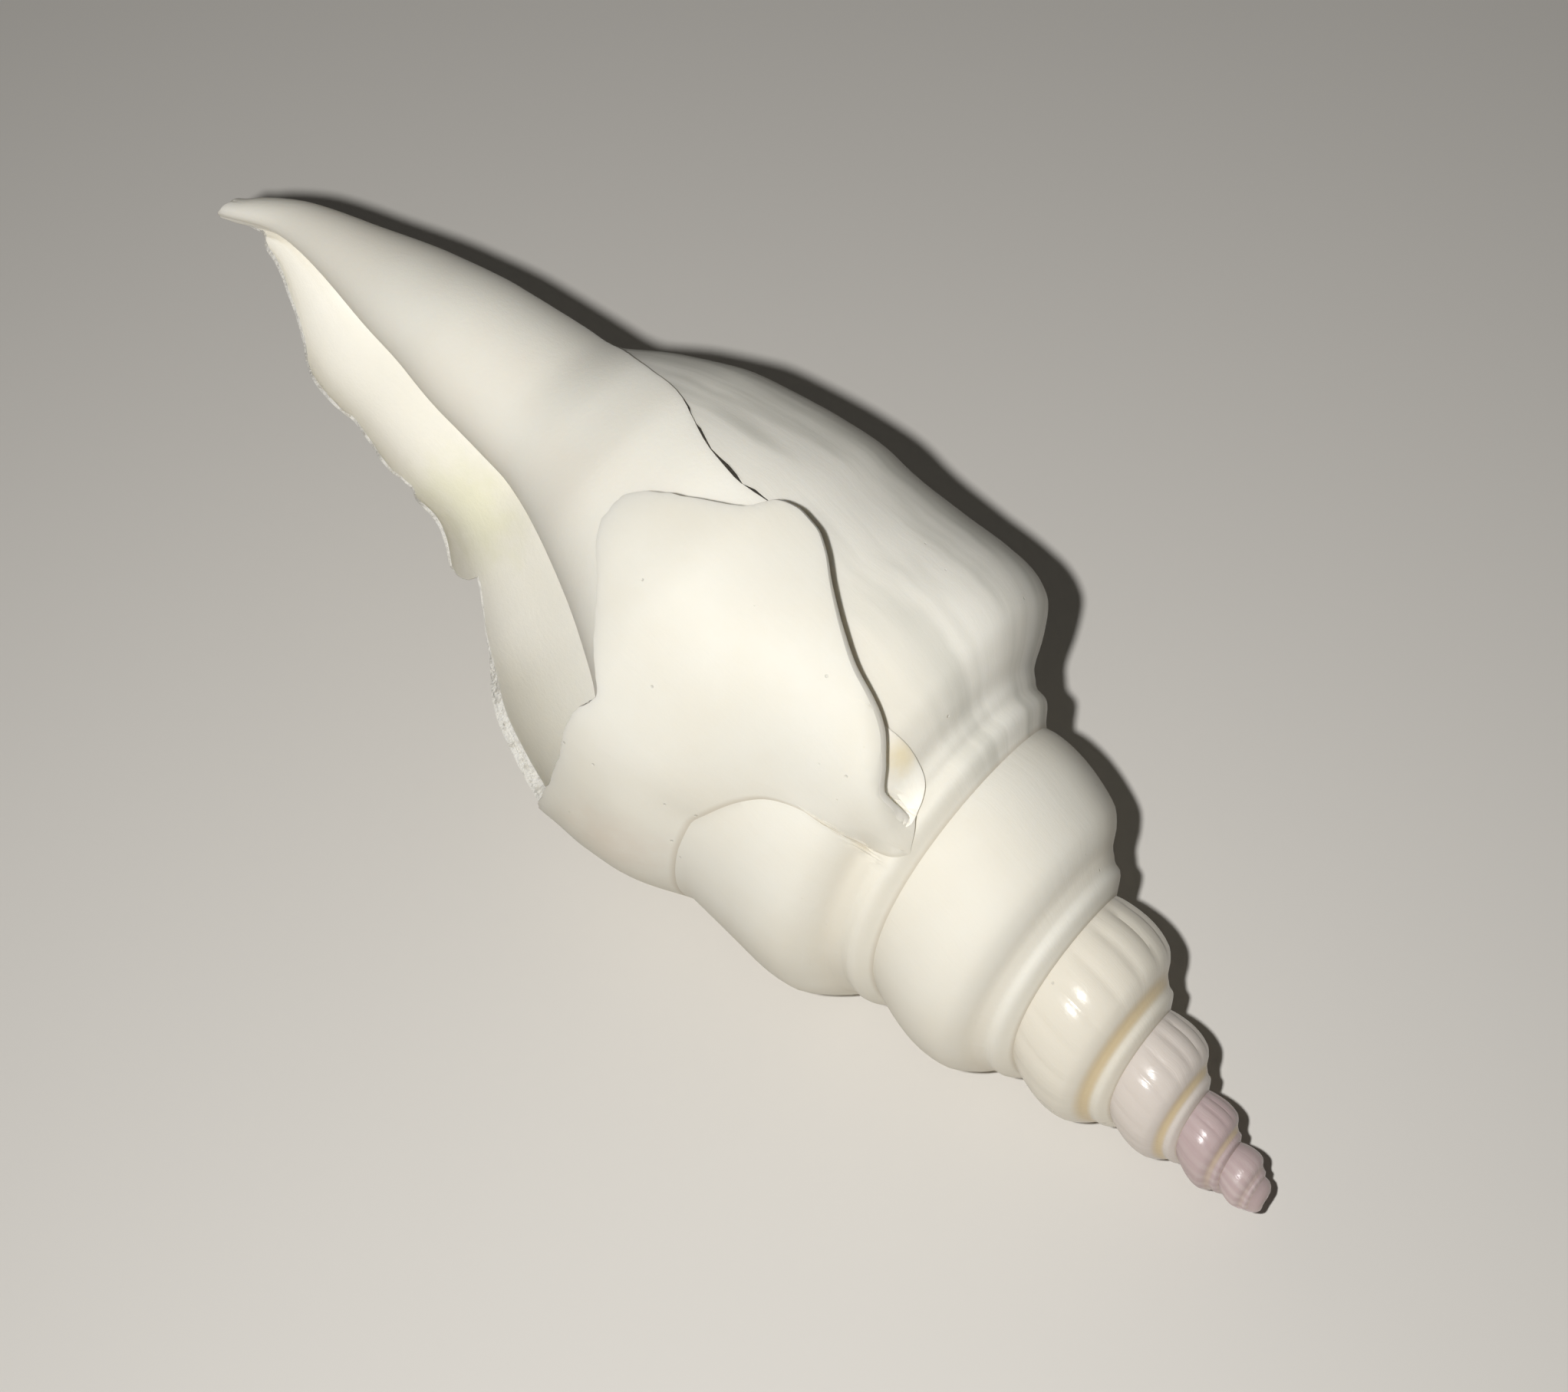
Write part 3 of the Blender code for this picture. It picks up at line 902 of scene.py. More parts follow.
@dataclass
class ConchShell:
    """The whole shell: builds its mesh and dresses it."""

    name: str = "worn_conch"
    whorls: Whorls = Whorls()
    pose: Pose = Pose()
    breakage: Breakage = Breakage()
    fineness: Fineness = field(default_factory=Fineness.for_now)
    rows: Outline = Outline(((0, 0), (0.16, 0.06), (0.3, 0.15), (0.8, 0.83), (0.93, 0.97), (1, 1)))
    strip_rows: Outline = Outline(((0, 0), (0.55, 0.36), (1, 1)))
    tip_rise: float = 0.2
    apex_rise: float = 0.3
    tip_growth: Pair = (1.0, 4.0)
    crack_width: float = 1.8
    crack_even: float = 0.8
    crack_swings: float = 1.7
    crack_seed: Pair = (0.5, 2.2)
    crack_foot: float = 0.14
    crack_fades: float = 0.02
    crack_opens: Pair = (0.12, 0.26)
    crack_closes: Pair = (0.6, 0.72)
    wall_shares: Pair = (0.15, 0.85)
    cut_growth: float = 10.0
    apex_across: float = 0.5
    smooth_below: float = 32.0
    level_within: float = 1e-7

    def __post_init__(self) -> None:
        """Builds the parts of the shape that depend on the whorls."""
        self.relief = Relief(self.whorls)
        self.hollow = Hollow(self.whorls, self.relief)
        self.offset = Vector()

    def on_outside(self, x: float, angle: float) -> Vector:
        """Point of the outside with its relief."""
        radius = self.whorls.whorl_radius(x, angle) + self.relief.at(x, angle)
        return self.pose.place(x, angle, radius)

    def growth_at(self, x: float, angle: float) -> Pair:
        """Turn of growth and place across the whorl, as the finishes read them."""
        return angle / 360, self.relief.height_share(x, angle)[0]

    def strip_bottom(self, angle: float) -> float:
        """Lower side of the strip of whorls.

        Args:
            angle: growth angle.

        Returns:
            Its axial place.
        """
        whorls = self.whorls
        if angle <= whorls.strip_start:
            return whorls.suture_x(angle + 360)
        return whorls.suture_x(whorls.last_angle) + whorls.strip_rise.at(angle)

    def strip_spot(self, column: float, row: float) -> Pair:
        """Axial place and growth angle on the strip of whorls."""
        angle = self.whorls.angle_at((1 - column) * self.whorls.turns)
        return mix(self.whorls.suture_x(angle), self.strip_bottom(angle), self.strip_rows.at(row)), angle

    def on_strip(self, column: float, row: float) -> Vector:
        """Point of the strip of whorls, whose sides are the two sutures.

        Args:
            column: share of the way from the apex to the lip.
            row: share of the way from the upper side to the lower.

        Returns:
            The point.
        """
        whorls = self.whorls
        x, angle = self.strip_spot(column, row)
        if row == 0:
            radius = whorls.suture_radius(angle) + self.relief.at(x, angle - 360)
            return self.pose.place(x, angle, radius)
        if row == 1 and angle <= whorls.strip_start:
            radius = whorls.suture_radius(angle + 360) + self.relief.at(x, angle)
            return self.pose.place(x, angle, radius)
        return self.on_outside(x, angle)

    def crack_at(self, x: float, row: float) -> float:
        """Width of the crack beside the edge of the glaze, whose faces wear painted shade.

        Args:
            x: axial place.
            row: share of the way down the last whorl.

        Returns:
            The width, in degrees.
        """
        uneven = self.crack_even + noise.noise(Vector((x * self.crack_swings, *self.crack_seed)))
        width = self.crack_width * uneven
        return width * blend(self.crack_opens, row) * (1 - blend(self.crack_closes, row))

    def base_spot(self, column: float, row: float) -> Pair:
        """Place on the last whorl, past the strip.

        Args:
            column: share of the turn, from where the whorl comes out from under the glaze.
            row: share of the way down to the canal's tip.

        Returns:
            Axial place and growth angle.
        """
        angle = self.whorls.angle_at(1 - column)
        row = self.rows.at(row)
        x = mix(self.strip_bottom(angle), self.whorls.tip_at, row)
        crack = self.crack_at(x, row) * blend((self.crack_fades, 0), column)
        return x, angle + self.whorls.edge_of_glaze.at(row) + crack

    def on_base(self, column: float, row: float) -> Vector:
        """Point of the last whorl, past the strip."""
        return self.on_outside(*self.base_spot(column, row))

    def on_step(self, column: float, row: float) -> Vector:
        """Point of the step at the edge of the glaze, with the crack at its foot.

        Args:
            column: share of the way from the foot to the top.
            row: share of the way down the last whorl.

        Returns:
            The point.
        """
        low, high = self.on_base(0, row), self.on_base(1, row)
        x, angle = self.base_spot(0, row)
        foot = self.on_outside(x, angle - self.crack_at(x, self.rows.at(row)))
        return low.lerp(high, column) + (foot - low) * blend((0, self.crack_foot), column) * (1 - column)

    def make_whorls(self) -> bpy.types.Object:
        """The closed outside: spire, last whorl and the step at the edge of the glaze.

        Returns:
            The outside as a solid, before anything is cut from it.
        """
        whorls, fine, sheets = self.whorls, self.fineness, Sheets()

        def strip_growth(column: float, row: float) -> Pair:
            """Growth of the strip of whorls."""
            return self.growth_at(*self.strip_spot(column, row))

        def base_growth(column: float, row: float) -> Pair:
            """Growth of the last whorl."""
            return self.growth_at(*self.base_spot(column, row))

        around = fine.steps_per_turn
        along = round(around * whorls.turns)
        sheets.add(along, fine.strip_rows, self.on_strip, strip_growth, Surface.OUTER)
        sheets.add(around, fine.base_rows, self.on_base, base_growth, Surface.OUTER)
        # The step and crack at the edge of the glaze wear SEAM, a painted shade for the shadow under the
        # glaze.
        sheets.add(fine.edge_rows, fine.base_rows, self.on_step, base_growth, Surface.SEAM)
        sheets.join()
        apex = self.pose.place(whorls.spiral_x(whorls.first_angle) - self.apex_rise, 0, 0)
        tip = self.pose.place(whorls.tip_at + self.tip_rise, 0, 0)
        middle = whorls.suture_at_90
        apex_growth = (whorls.first_angle / 360, self.apex_across)
        sheets.close(lambda x: x < middle, apex, fine.apex_rings, apex_growth)
        sheets.close(lambda x: x > middle, tip, fine.apex_rings, self.tip_growth)
        return sheets.finish(self.name)

    def make_cutter(
        self,
        name: str,
        size: tuple[int, int, int],
        spot: Spot,
        through: Callable[[float, float], Outline],
        surfaces: tuple[Surface, Surface],
        side: Callable[[float, float, float], Triple] | None = None,
    ) -> bpy.types.Object:
        """A closed block between two sheets and the four sides that join them.

        Args:
            name: name of the cutter.
            size: faces along the columns, along the rows and between the sheets.
            spot: axial place and growth angle for shares of column and row.
            through: for an axial place and angle, radius over the share of the way out.
            surfaces: finish that the inner sheet leaves, and that everything else leaves.
            side: moves a point of the sides, given its axial place, angle and radius.

        Returns:
            The cutter.
        """
        columns, rows, between = size
        inner, rest = surfaces
        sheets = Sheets()

        def grown(column: float, row: float) -> Pair:
            """Growth on the cutter, level with the outside's."""
            x, angle = spot(column, row)
            return angle / 360, x / self.cut_growth

        def on(column: float, row: float, up: float) -> Vector:
            """Point of the block.

            Args:
                column: share of the way along the columns.
                row: share of the way along the rows.
                up: share of the way from the inner sheet to the outer one.

            Returns:
                The point.
            """
            x, angle = spot(column, row)
            radius = through(x, angle).at(up)
            if side is not None and 0 < up < 1 and 0 in (column, row):
                x, angle, radius = side(x, angle, radius)
            return self.pose.place(x, angle, radius)

        sheets.add(columns, rows, lambda a, b: on(a, b, 0), grown, inner)
        sheets.add(columns, rows, lambda a, b: on(a, b, 1), grown, rest)
        for end in (0, 1):
            sheets.add(columns, between, lambda a, up: on(a, end, up), lambda a, up: grown(a, end), rest)
            sheets.add(between, rows, lambda up, b: on(end, b, up), lambda up, b: grown(end, b), rest)
        sheets.join()
        bmesh.ops.triangulate(sheets.shape, faces=sheets.shape.faces)
        return sheets.finish(name)

    def make_hollow(self) -> bpy.types.Object:
        """The inside of the last whorl, from its closed end to past the lip.

        Returns:
            The cutter.
        """
        fine, hollow = self.fineness, self.hollow
        size = (fine.cavity_steps, fine.cavity_rows, 1)

        def through(x: float, angle: float) -> Outline:
            """Way out from the columella to the wall."""
            return Outline(tuple(enumerate(hollow.radii(x, angle))))

        return self.make_cutter("hollow", size, hollow.spot, through, (Surface.GLAZE, Surface.INNER))

    def through_wall(self, x: float, angle: float) -> Outline:
        """Way out from the hollow's middle through the wall, which takes most of its share.

        Args:
            x: axial place.
            angle: growth angle.

        Returns:
            Radius over the share of the way.
        """
        margin, outside = self.breakage.margin, self.whorls.body_radius(x, angle)
        middle = self.hollow.middle_radius(x, angle)
        inside = max(outside - self.hollow.wall_thickness(x, angle) - margin, middle + margin)
        above = max(outside, inside) + margin
        enters, leaves = self.wall_shares
        return Outline(((0, middle), (enters, inside), (leaves, above), (1, above + self.breakage.outside)))

    def make_lip_cutter(self) -> bpy.types.Object:
        """What lies past the natural edge of the outer lip, which it rounds.

        Returns:
            The cutter.
        """
        fine, hollow, whorls = self.fineness, self.hollow, self.whorls

        def spot(column: float, row: float) -> Pair:
            """Place past the lip.

            Args:
                column: share of the way from the lip to past the glaze's edge.
                row: share of the way down the lip.

            Returns:
                Axial place and growth angle.
            """
            x = mix(*self.breakage.lip_span, row)
            lip = hollow.lip_edge.at(x)
            return x, mix(lip, max(lip, whorls.glaze_edge(x)) + hollow.past_edge, column)

        def rounded(x: float, angle: float, radius: float) -> Triple:
            """Draws the cut back at the wall's two faces, so that the lip between is round.

            Args:
                x: axial place.
                angle: growth angle.
                radius: distance from the axis.

            Returns:
                The moved place, angle and radius.
            """
            wall = hollow.wall_thickness(x, angle)
            middle = whorls.body_radius(x, angle) - wall / 2
            off = min(1.0, abs(radius - middle) / (wall / 2))
            back = (0.5 - math.sqrt(1 - off * off)) * wall / 2
            return x, angle - math.degrees(back / radius), radius

        size = (fine.lip_steps, fine.cavity_rows, fine.rim_rows)
        glazed = (Surface.GLAZE, Surface.GLAZE)
        return self.make_cutter("past_lip", size, spot, self.through_wall, glazed, rounded)

    def make_break_cutters(self) -> list[bpy.types.Object]:
        """The two parts of the wall that have broken away, with a rough face.

        Returns:
            The cutters.
        """
        fine, hollow, whorls, breakage = self.fineness, self.hollow, self.whorls, self.breakage
        first, last = breakage.edge.points[0][0], breakage.edge.points[-1][0]

        def below_plate(column: float, row: float) -> Pair:
            """Axial place and growth angle below the remnant of the lip."""
            angle = mix(first, last, column)
            return mix(breakage.edge_x(angle), breakage.meet, row), angle

        def over_canal(column: float, row: float) -> Pair:
            """Axial place and growth angle over the canal."""
            x = mix(breakage.rim.points[0][0], hollow.cut_end, row)
            return x, mix(breakage.rim_angle(x), whorls.glaze_edge(x) + hollow.past_edge, column)

        size = (fine.cavity_steps, fine.cavity_rows, fine.rim_rows)
        broken = (Surface.BROKEN, Surface.BROKEN)
        return [
            self.make_cutter(spot.__name__, size, spot, self.through_wall, broken, breakage.crumbled)
            for spot in (below_plate, over_canal)
        ]

    def build(self) -> bpy.types.Object:
        """Cuts the hollow, the lip and the break, and lays the shell on the table.

        Returns:
            The shell, with its faces marked by finish.
        """
        shell = self.make_whorls()
        cutters = [self.make_hollow(), self.make_lip_cutter(), *self.make_break_cutters()]
        finishes = [bpy.data.materials.new(surface.name) for surface in Surface]
        for obj in (shell, *cutters):
            for finish in finishes:
                obj.data.materials.append(finish)
        for cutter in cutters:
            step = shell.modifiers.new(cutter.name, "BOOLEAN")
            step.operation = "DIFFERENCE"
            step.object = cutter
            step.material_mode = "INDEX"
        bpy.context.view_layer.update()
        graph = bpy.context.evaluated_depsgraph_get()
        solid = bpy.data.meshes.new_from_object(shell.evaluated_get(graph))
        shell.modifiers.clear()
        shell.data = solid
        for cutter in cutters:
            bpy.data.objects.remove(cutter)
        self.lay_on_table(solid)
        return shell

    def lay_on_table(self, mesh: bpy.types.Mesh) -> None:
        """Turns the mesh to its resting pose and wears flat the spots it rests on.

        Args:
            mesh: the shell's mesh, in its own frame.
        """
        shape = bmesh.new()
        shape.from_mesh(mesh)
        bmesh.ops.transform(shape, matrix=self.pose.turned, verts=shape.verts)
        low = Vector([min(vert.co[axis] for vert in shape.verts) for axis in range(3)])
        high = Vector([max(vert.co[axis] for vert in shape.verts) for axis in range(3)])
        cad_low, cad_high = (Vector(corner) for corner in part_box(NODE))
        centre = (cad_low + cad_high) / 2 - (low + high) / 2
        self.offset = Vector((centre.x, centre.y, -low.z - self.pose.worn_flat * MM))
        bmesh.ops.translate(shape, vec=self.offset, verts=shape.verts)
        bmesh.ops.bisect_plane(
            shape,
            geom=shape.verts[:] + shape.edges[:] + shape.faces[:],
            dist=self.level_within,
            plane_co=(0, 0, 0),
            plane_no=(0, 0, 1),
            clear_inner=True,
        )
        bmesh.ops.holes_fill(shape, edges=[edge for edge in shape.edges if edge.is_boundary])
        shape.to_mesh(mesh)
        shape.free()
        mesh.polygons.foreach_set("use_smooth", [True] * len(mesh.polygons))
        mesh.set_sharp_from_angle(angle=math.radians(self.smooth_below))

    def world(self, x: float, angle: float, radius: float) -> Vector:
        """Point on the table for a place in the shell's own frame."""
        return self.pose.turned @ self.pose.place(x, angle, radius) + self.offset

    def dress(self) -> None:
        """Gives every surface its finish, with the stains that lie on it."""
        lines, worn = GrowthLines().make(), Grain().make()
        crescent = Stain(
            centre=self.world(28.3, 371.0, 9.0),
            inner=0.0004,
            outer=0.0016,
            colour=(0.80, 0.66, 0.36, 1.0),
            strength=0.7,
            wander=0.0004,
        )
        pad = Stain(
            centre=self.world(27.0, 367.0, 9.0),
            inner=0.0022,
            outer=0.0035,
            colour=(0.84, 0.82, 0.73, 1.0),
            strength=0.9,
            wander=0.0002,
        )
        back = Stain(
            centre=self.world(51.5, 232.0, 6.8),
            inner=0.0010,
            outer=0.0042,
            colour=(0.78, 0.78, 0.48, 1.0),
            strength=0.45,
        )
        seam = Stain(
            centre=self.world(34.6, 295.0, 9.5),
            inner=0.0005,
            outer=0.0035,
            colour=(0.70, 0.56, 0.44, 1.0),
            strength=0.35,
        )
        OuterLayer(lines, worn, (seam,)).dress(Surface.OUTER)
        Glaze(lines, worn, (crescent,)).dress(Surface.GLAZE)
        InnerWall(lines, worn, (back,)).dress(Surface.INNER)
        Fracture(lines, worn).dress(Surface.BROKEN)
        # The seam's dark colour is painted shade for the shadow under the glaze's edge; the pad stain keeps
        # it pale near the crescent.
        PaintedShadeCrack(lines, worn, (pad,)).dress(Surface.SEAM)


@dataclass(frozen=True)
class NoiseGrain:
    """How fine and how rough a noise texture is."""

    scale: float
    detail: float = 3.0
    rough: float = 0.5


class Nodes:
    """Adds shader nodes to a tree and joins them."""

    def __init__(self, tree: bpy.types.NodeTree) -> None:
        """Works on one tree.

        Args:
            tree: node tree of a material or a group.
        """
        self.tree = tree

    def feed(self, node: bpy.types.Node, inputs: dict) -> None:
        """Sets or joins the inputs of a node.

        Args:
            node: the node.
            inputs: value or socket for each input, by name or number.
        """
        for name, value in inputs.items():
            if isinstance(value, bpy.types.NodeSocket):
                self.tree.links.new(value, node.inputs[name])
            else:
                node.inputs[name].default_value = value

    def add(self, kind: str, inputs: dict | None = None, **settings: object) -> bpy.types.Node:
        """Adds a node.

        Args:
            kind: Blender's name of the node type, without ShaderNode.
            inputs: value or socket for each input, by name or number.
            settings: properties of the node.

        Returns:
            The node.
        """
        node = self.tree.nodes.new(f"ShaderNode{kind}")
        for name, value in settings.items():
            setattr(node, name, value)
        self.feed(node, inputs or {})
        return node

    def math(self, operation: str, *values: object) -> bpy.types.NodeSocket:
        """Output of a Math node."""
        return self.add("Math", dict(enumerate(values)), operation=operation).outputs[0]

    def times(self, a: object, b: object) -> bpy.types.NodeSocket:
        """Product of two values."""
        return self.math("MULTIPLY", a, b)

    def plus(self, a: object, b: object) -> bpy.types.NodeSocket:
        """Sum of two values."""
        return self.math("ADD", a, b)

    def span(self, value: object, span: Pair) -> bpy.types.NodeSocket:
        """Smooth step of a value, 0 at the span's start and 1 at its end."""
        inputs = {"Value": value, "From Min": span[0], "From Max": span[1]}
        return self.add("MapRange", inputs, interpolation_type="SMOOTHSTEP").outputs[0]

    def band(self, value: object, begins: Pair, ends: Pair) -> bpy.types.NodeSocket:
        """Product of two smooth steps of a value."""
        return self.times(self.span(value, begins), self.span(value, ends))

    def colours(self, share: object, a: object, b: object) -> bpy.types.NodeSocket:
        """Colour between a and b."""
        return self.add("Mix", {0: share, 6: a, 7: b}, data_type="RGBA").outputs[2]

    def noise(self, vector: object, grain: NoiseGrain) -> bpy.types.NodeSocket:
        """Value of a noise texture, about 0.25 to 0.75."""
        inputs = {"Vector": vector, "Scale": grain.scale, "Detail": grain.detail, "Roughness": grain.rough}
        return self.add("TexNoise", inputs).outputs[0]


def new_group(
    name: str, inputs: dict[str, float | None], outputs: tuple[str, ...]
) -> tuple[Nodes, bpy.types.bpy_prop_collection, bpy.types.Node]:
    """A shader node group with its sockets.

    Args:
        name: name of the group.
        inputs: default of each number input, or None for a vector.
        outputs: names of the number outputs.

    Returns:
        The group's nodes, the sockets of its inputs, and the node that takes its outputs.
    """
    group = bpy.data.node_groups.new(name, "ShaderNodeTree")
    for label, default in inputs.items():
        kind = "NodeSocketVector" if default is None else "NodeSocketFloat"
        socket = group.interface.new_socket(label, in_out="INPUT", socket_type=kind)
        if default is not None:
            socket.default_value = default
    for label in outputs:
        group.interface.new_socket(label, in_out="OUTPUT", socket_type="NodeSocketFloat")
    given = group.nodes.new("NodeGroupInput").outputs
    return Nodes(group), given, group.nodes.new("NodeGroupOutput")


@dataclass(frozen=True)
class GrowthLines:
    """The fine lines and broad streaks that growth leaves."""

    fineness: float = 60.0
    waver: float = 0.02
    bend: NoiseGrain = NoiseGrain(3.0, 2.0)
    broad_along: float = 16.0
    broad_across: float = 0.5
    fine_noise: NoiseGrain = NoiseGrain(1.0, 4.0, 0.65)
    broad_noise: NoiseGrain = NoiseGrain(1.0, 3.0, 0.6)

    def make(self) -> bpy.types.NodeTree:
        """Makes the node group.

        Returns:
            Group with a Growth vector, a Fineness and a Waver, giving Lines and Streaks.
        """
        inputs = {"Growth": None, "Fineness": self.fineness, "Waver": self.waver}
        nodes, given, out = new_group("growth lines", inputs, ("Lines", "Streaks"))
        split = nodes.add("SeparateXYZ", {0: given["Growth"]}).outputs
        bend = nodes.noise(given["Growth"], self.bend)
        turn = nodes.plus(split[0], nodes.times(bend, given["Waver"]))
        along = nodes.times(turn, given["Fineness"])
        fine = nodes.add("CombineXYZ", {0: along, 1: split[1]}).outputs[0]
        along = nodes.times(turn, self.broad_along)
        across = nodes.times(split[1], self.broad_across)
        broad = nodes.add("CombineXYZ", {0: along, 1: across}).outputs[0]
        nodes.feed(out, {
            "Lines": nodes.noise(fine, self.fine_noise),
            "Streaks": nodes.noise(broad, self.broad_noise),
        })
        return nodes.tree


@dataclass(frozen=True)
class Grain:
    """The fine grain, mottling and pits of worn shell."""

    fine: NoiseGrain = NoiseGrain(5000.0, 3.0, 0.6)
    mottle: NoiseGrain = NoiseGrain(130.0, 4.0, 0.55)
    pit_scale: float = 2600.0
    pitted_cells: Pair = (0.982, 0.99)
    pit_edge: Pair = (0.22, 0.08)

    def make(self) -> bpy.types.NodeTree:
        """Makes the node group.

        Returns:
            Group with a Position vector and a Pit Scale, giving Grain, Mottle and Pits.
        """
        inputs = {"Position": None, "Pit Scale": self.pit_scale}
        nodes, given, out = new_group("grain", inputs, ("Grain", "Mottle", "Pits"))
        position = given["Position"]
        cells = nodes.add("TexVoronoi", {"Vector": position, "Scale": given["Pit Scale"]}).outputs
        chance = nodes.add("SeparateColor", {0: cells["Color"]}).outputs[0]
        rare = nodes.span(chance, self.pitted_cells)
        nodes.feed(out, {
            "Grain": nodes.noise(position, self.fine),
            "Mottle": nodes.noise(position, self.mottle),
            "Pits": nodes.times(rare, nodes.span(cells["Distance"], self.pit_edge)),
        })
        return nodes.tree


@dataclass(frozen=True)
class Stain:
    """A patch of another colour with a soft, wandering edge; its sizes are metres."""

    centre: Vector
    inner: float
    outer: float
    colour: Colour
    strength: float
    wander: float = 0.0012
    swings: NoiseGrain = NoiseGrain(900.0)

    def over(self, nodes: Nodes, position: object, colour: object) -> bpy.types.NodeSocket:
        """Lays the stain over a colour.

        Args:
            nodes: the material's nodes.
            position: Object coordinates.
            colour: the colour underneath.

        Returns:
            The stained colour.
        """
        away = nodes.add("VectorMath", {0: position, 1: self.centre}, operation="DISTANCE").outputs["Value"]
        swing = nodes.math("SUBTRACT", nodes.noise(position, self.swings), 0.5)
        away = nodes.plus(away, nodes.times(swing, 2 * self.wander))
        share = nodes.times(nodes.span(away, (self.outer, self.inner)), self.strength)
        return nodes.colours(share, colour, self.colour)


@dataclass(frozen=True)
class Maps:
    """What the finishes read: the growth map, Object coordinates, and the two groups."""

    growth: bpy.types.NodeSocket
    position: bpy.types.NodeSocket
    lines: bpy.types.bpy_prop_collection
    worn: bpy.types.bpy_prop_collection


@dataclass(frozen=True)
class Layers:
    """What a finish gives its shader; a height of None leaves the surface smooth."""

    colour: object
    rough: object
    height: object = None


@dataclass(frozen=True)
class ShellFinish:
    """What the finishes share: groups, stains and the shader's settings, in metres."""

    lines: bpy.types.NodeTree
    grain: bpy.types.NodeTree
    stains: tuple[Stain, ...] = ()
    shine_through: float = 0.3
    depth: float = 0.0015
    reach: Triple = (1.0, 0.9, 0.75)
    specular: float = 0.5
    fineness: float = 60.0
    bump: float = 0.000015

    def layers(self, nodes: Nodes, maps: Maps) -> Layers:
        """What the finish gives its shader; each finish says its own."""
        raise NotImplementedError

    def dress(self, surface: Surface) -> None:
        """Makes the material of a surface.

        Args:
            surface: whose material it is.
        """
        material = bpy.data.materials[surface.name]
        material.use_nodes = True
        nodes = Nodes(material.node_tree)
        shader = material.node_tree.nodes["Principled BSDF"]
        growth = nodes.add("UVMap", uv_map="growth").outputs[0]
        position = nodes.add("TexCoord").outputs["Object"]
        lines = nodes.add("Group", {"Growth": growth, "Fineness": self.fineness}, node_tree=self.lines)
        worn = nodes.add("Group", {"Position": position}, node_tree=self.grain)
        layers = self.layers(nodes, Maps(growth, position, lines.outputs, worn.outputs))
        colour = layers.colour
        for stain in self.stains:
            colour = stain.over(nodes, position, colour)
        nodes.feed(shader, {
            "Base Color": colour,
            "Roughness": layers.rough,
            "Specular IOR Level": self.specular,
            "Subsurface Weight": self.shine_through,
            "Subsurface Scale": self.depth,
            "Subsurface Radius": self.reach,
        })
        if layers.height is not None:
            relief = {"Height": layers.height, "Distance": self.bump, "Strength": 1.0}
            nodes.feed(shader, {"Normal": nodes.add("Bump", relief).outputs[0]})


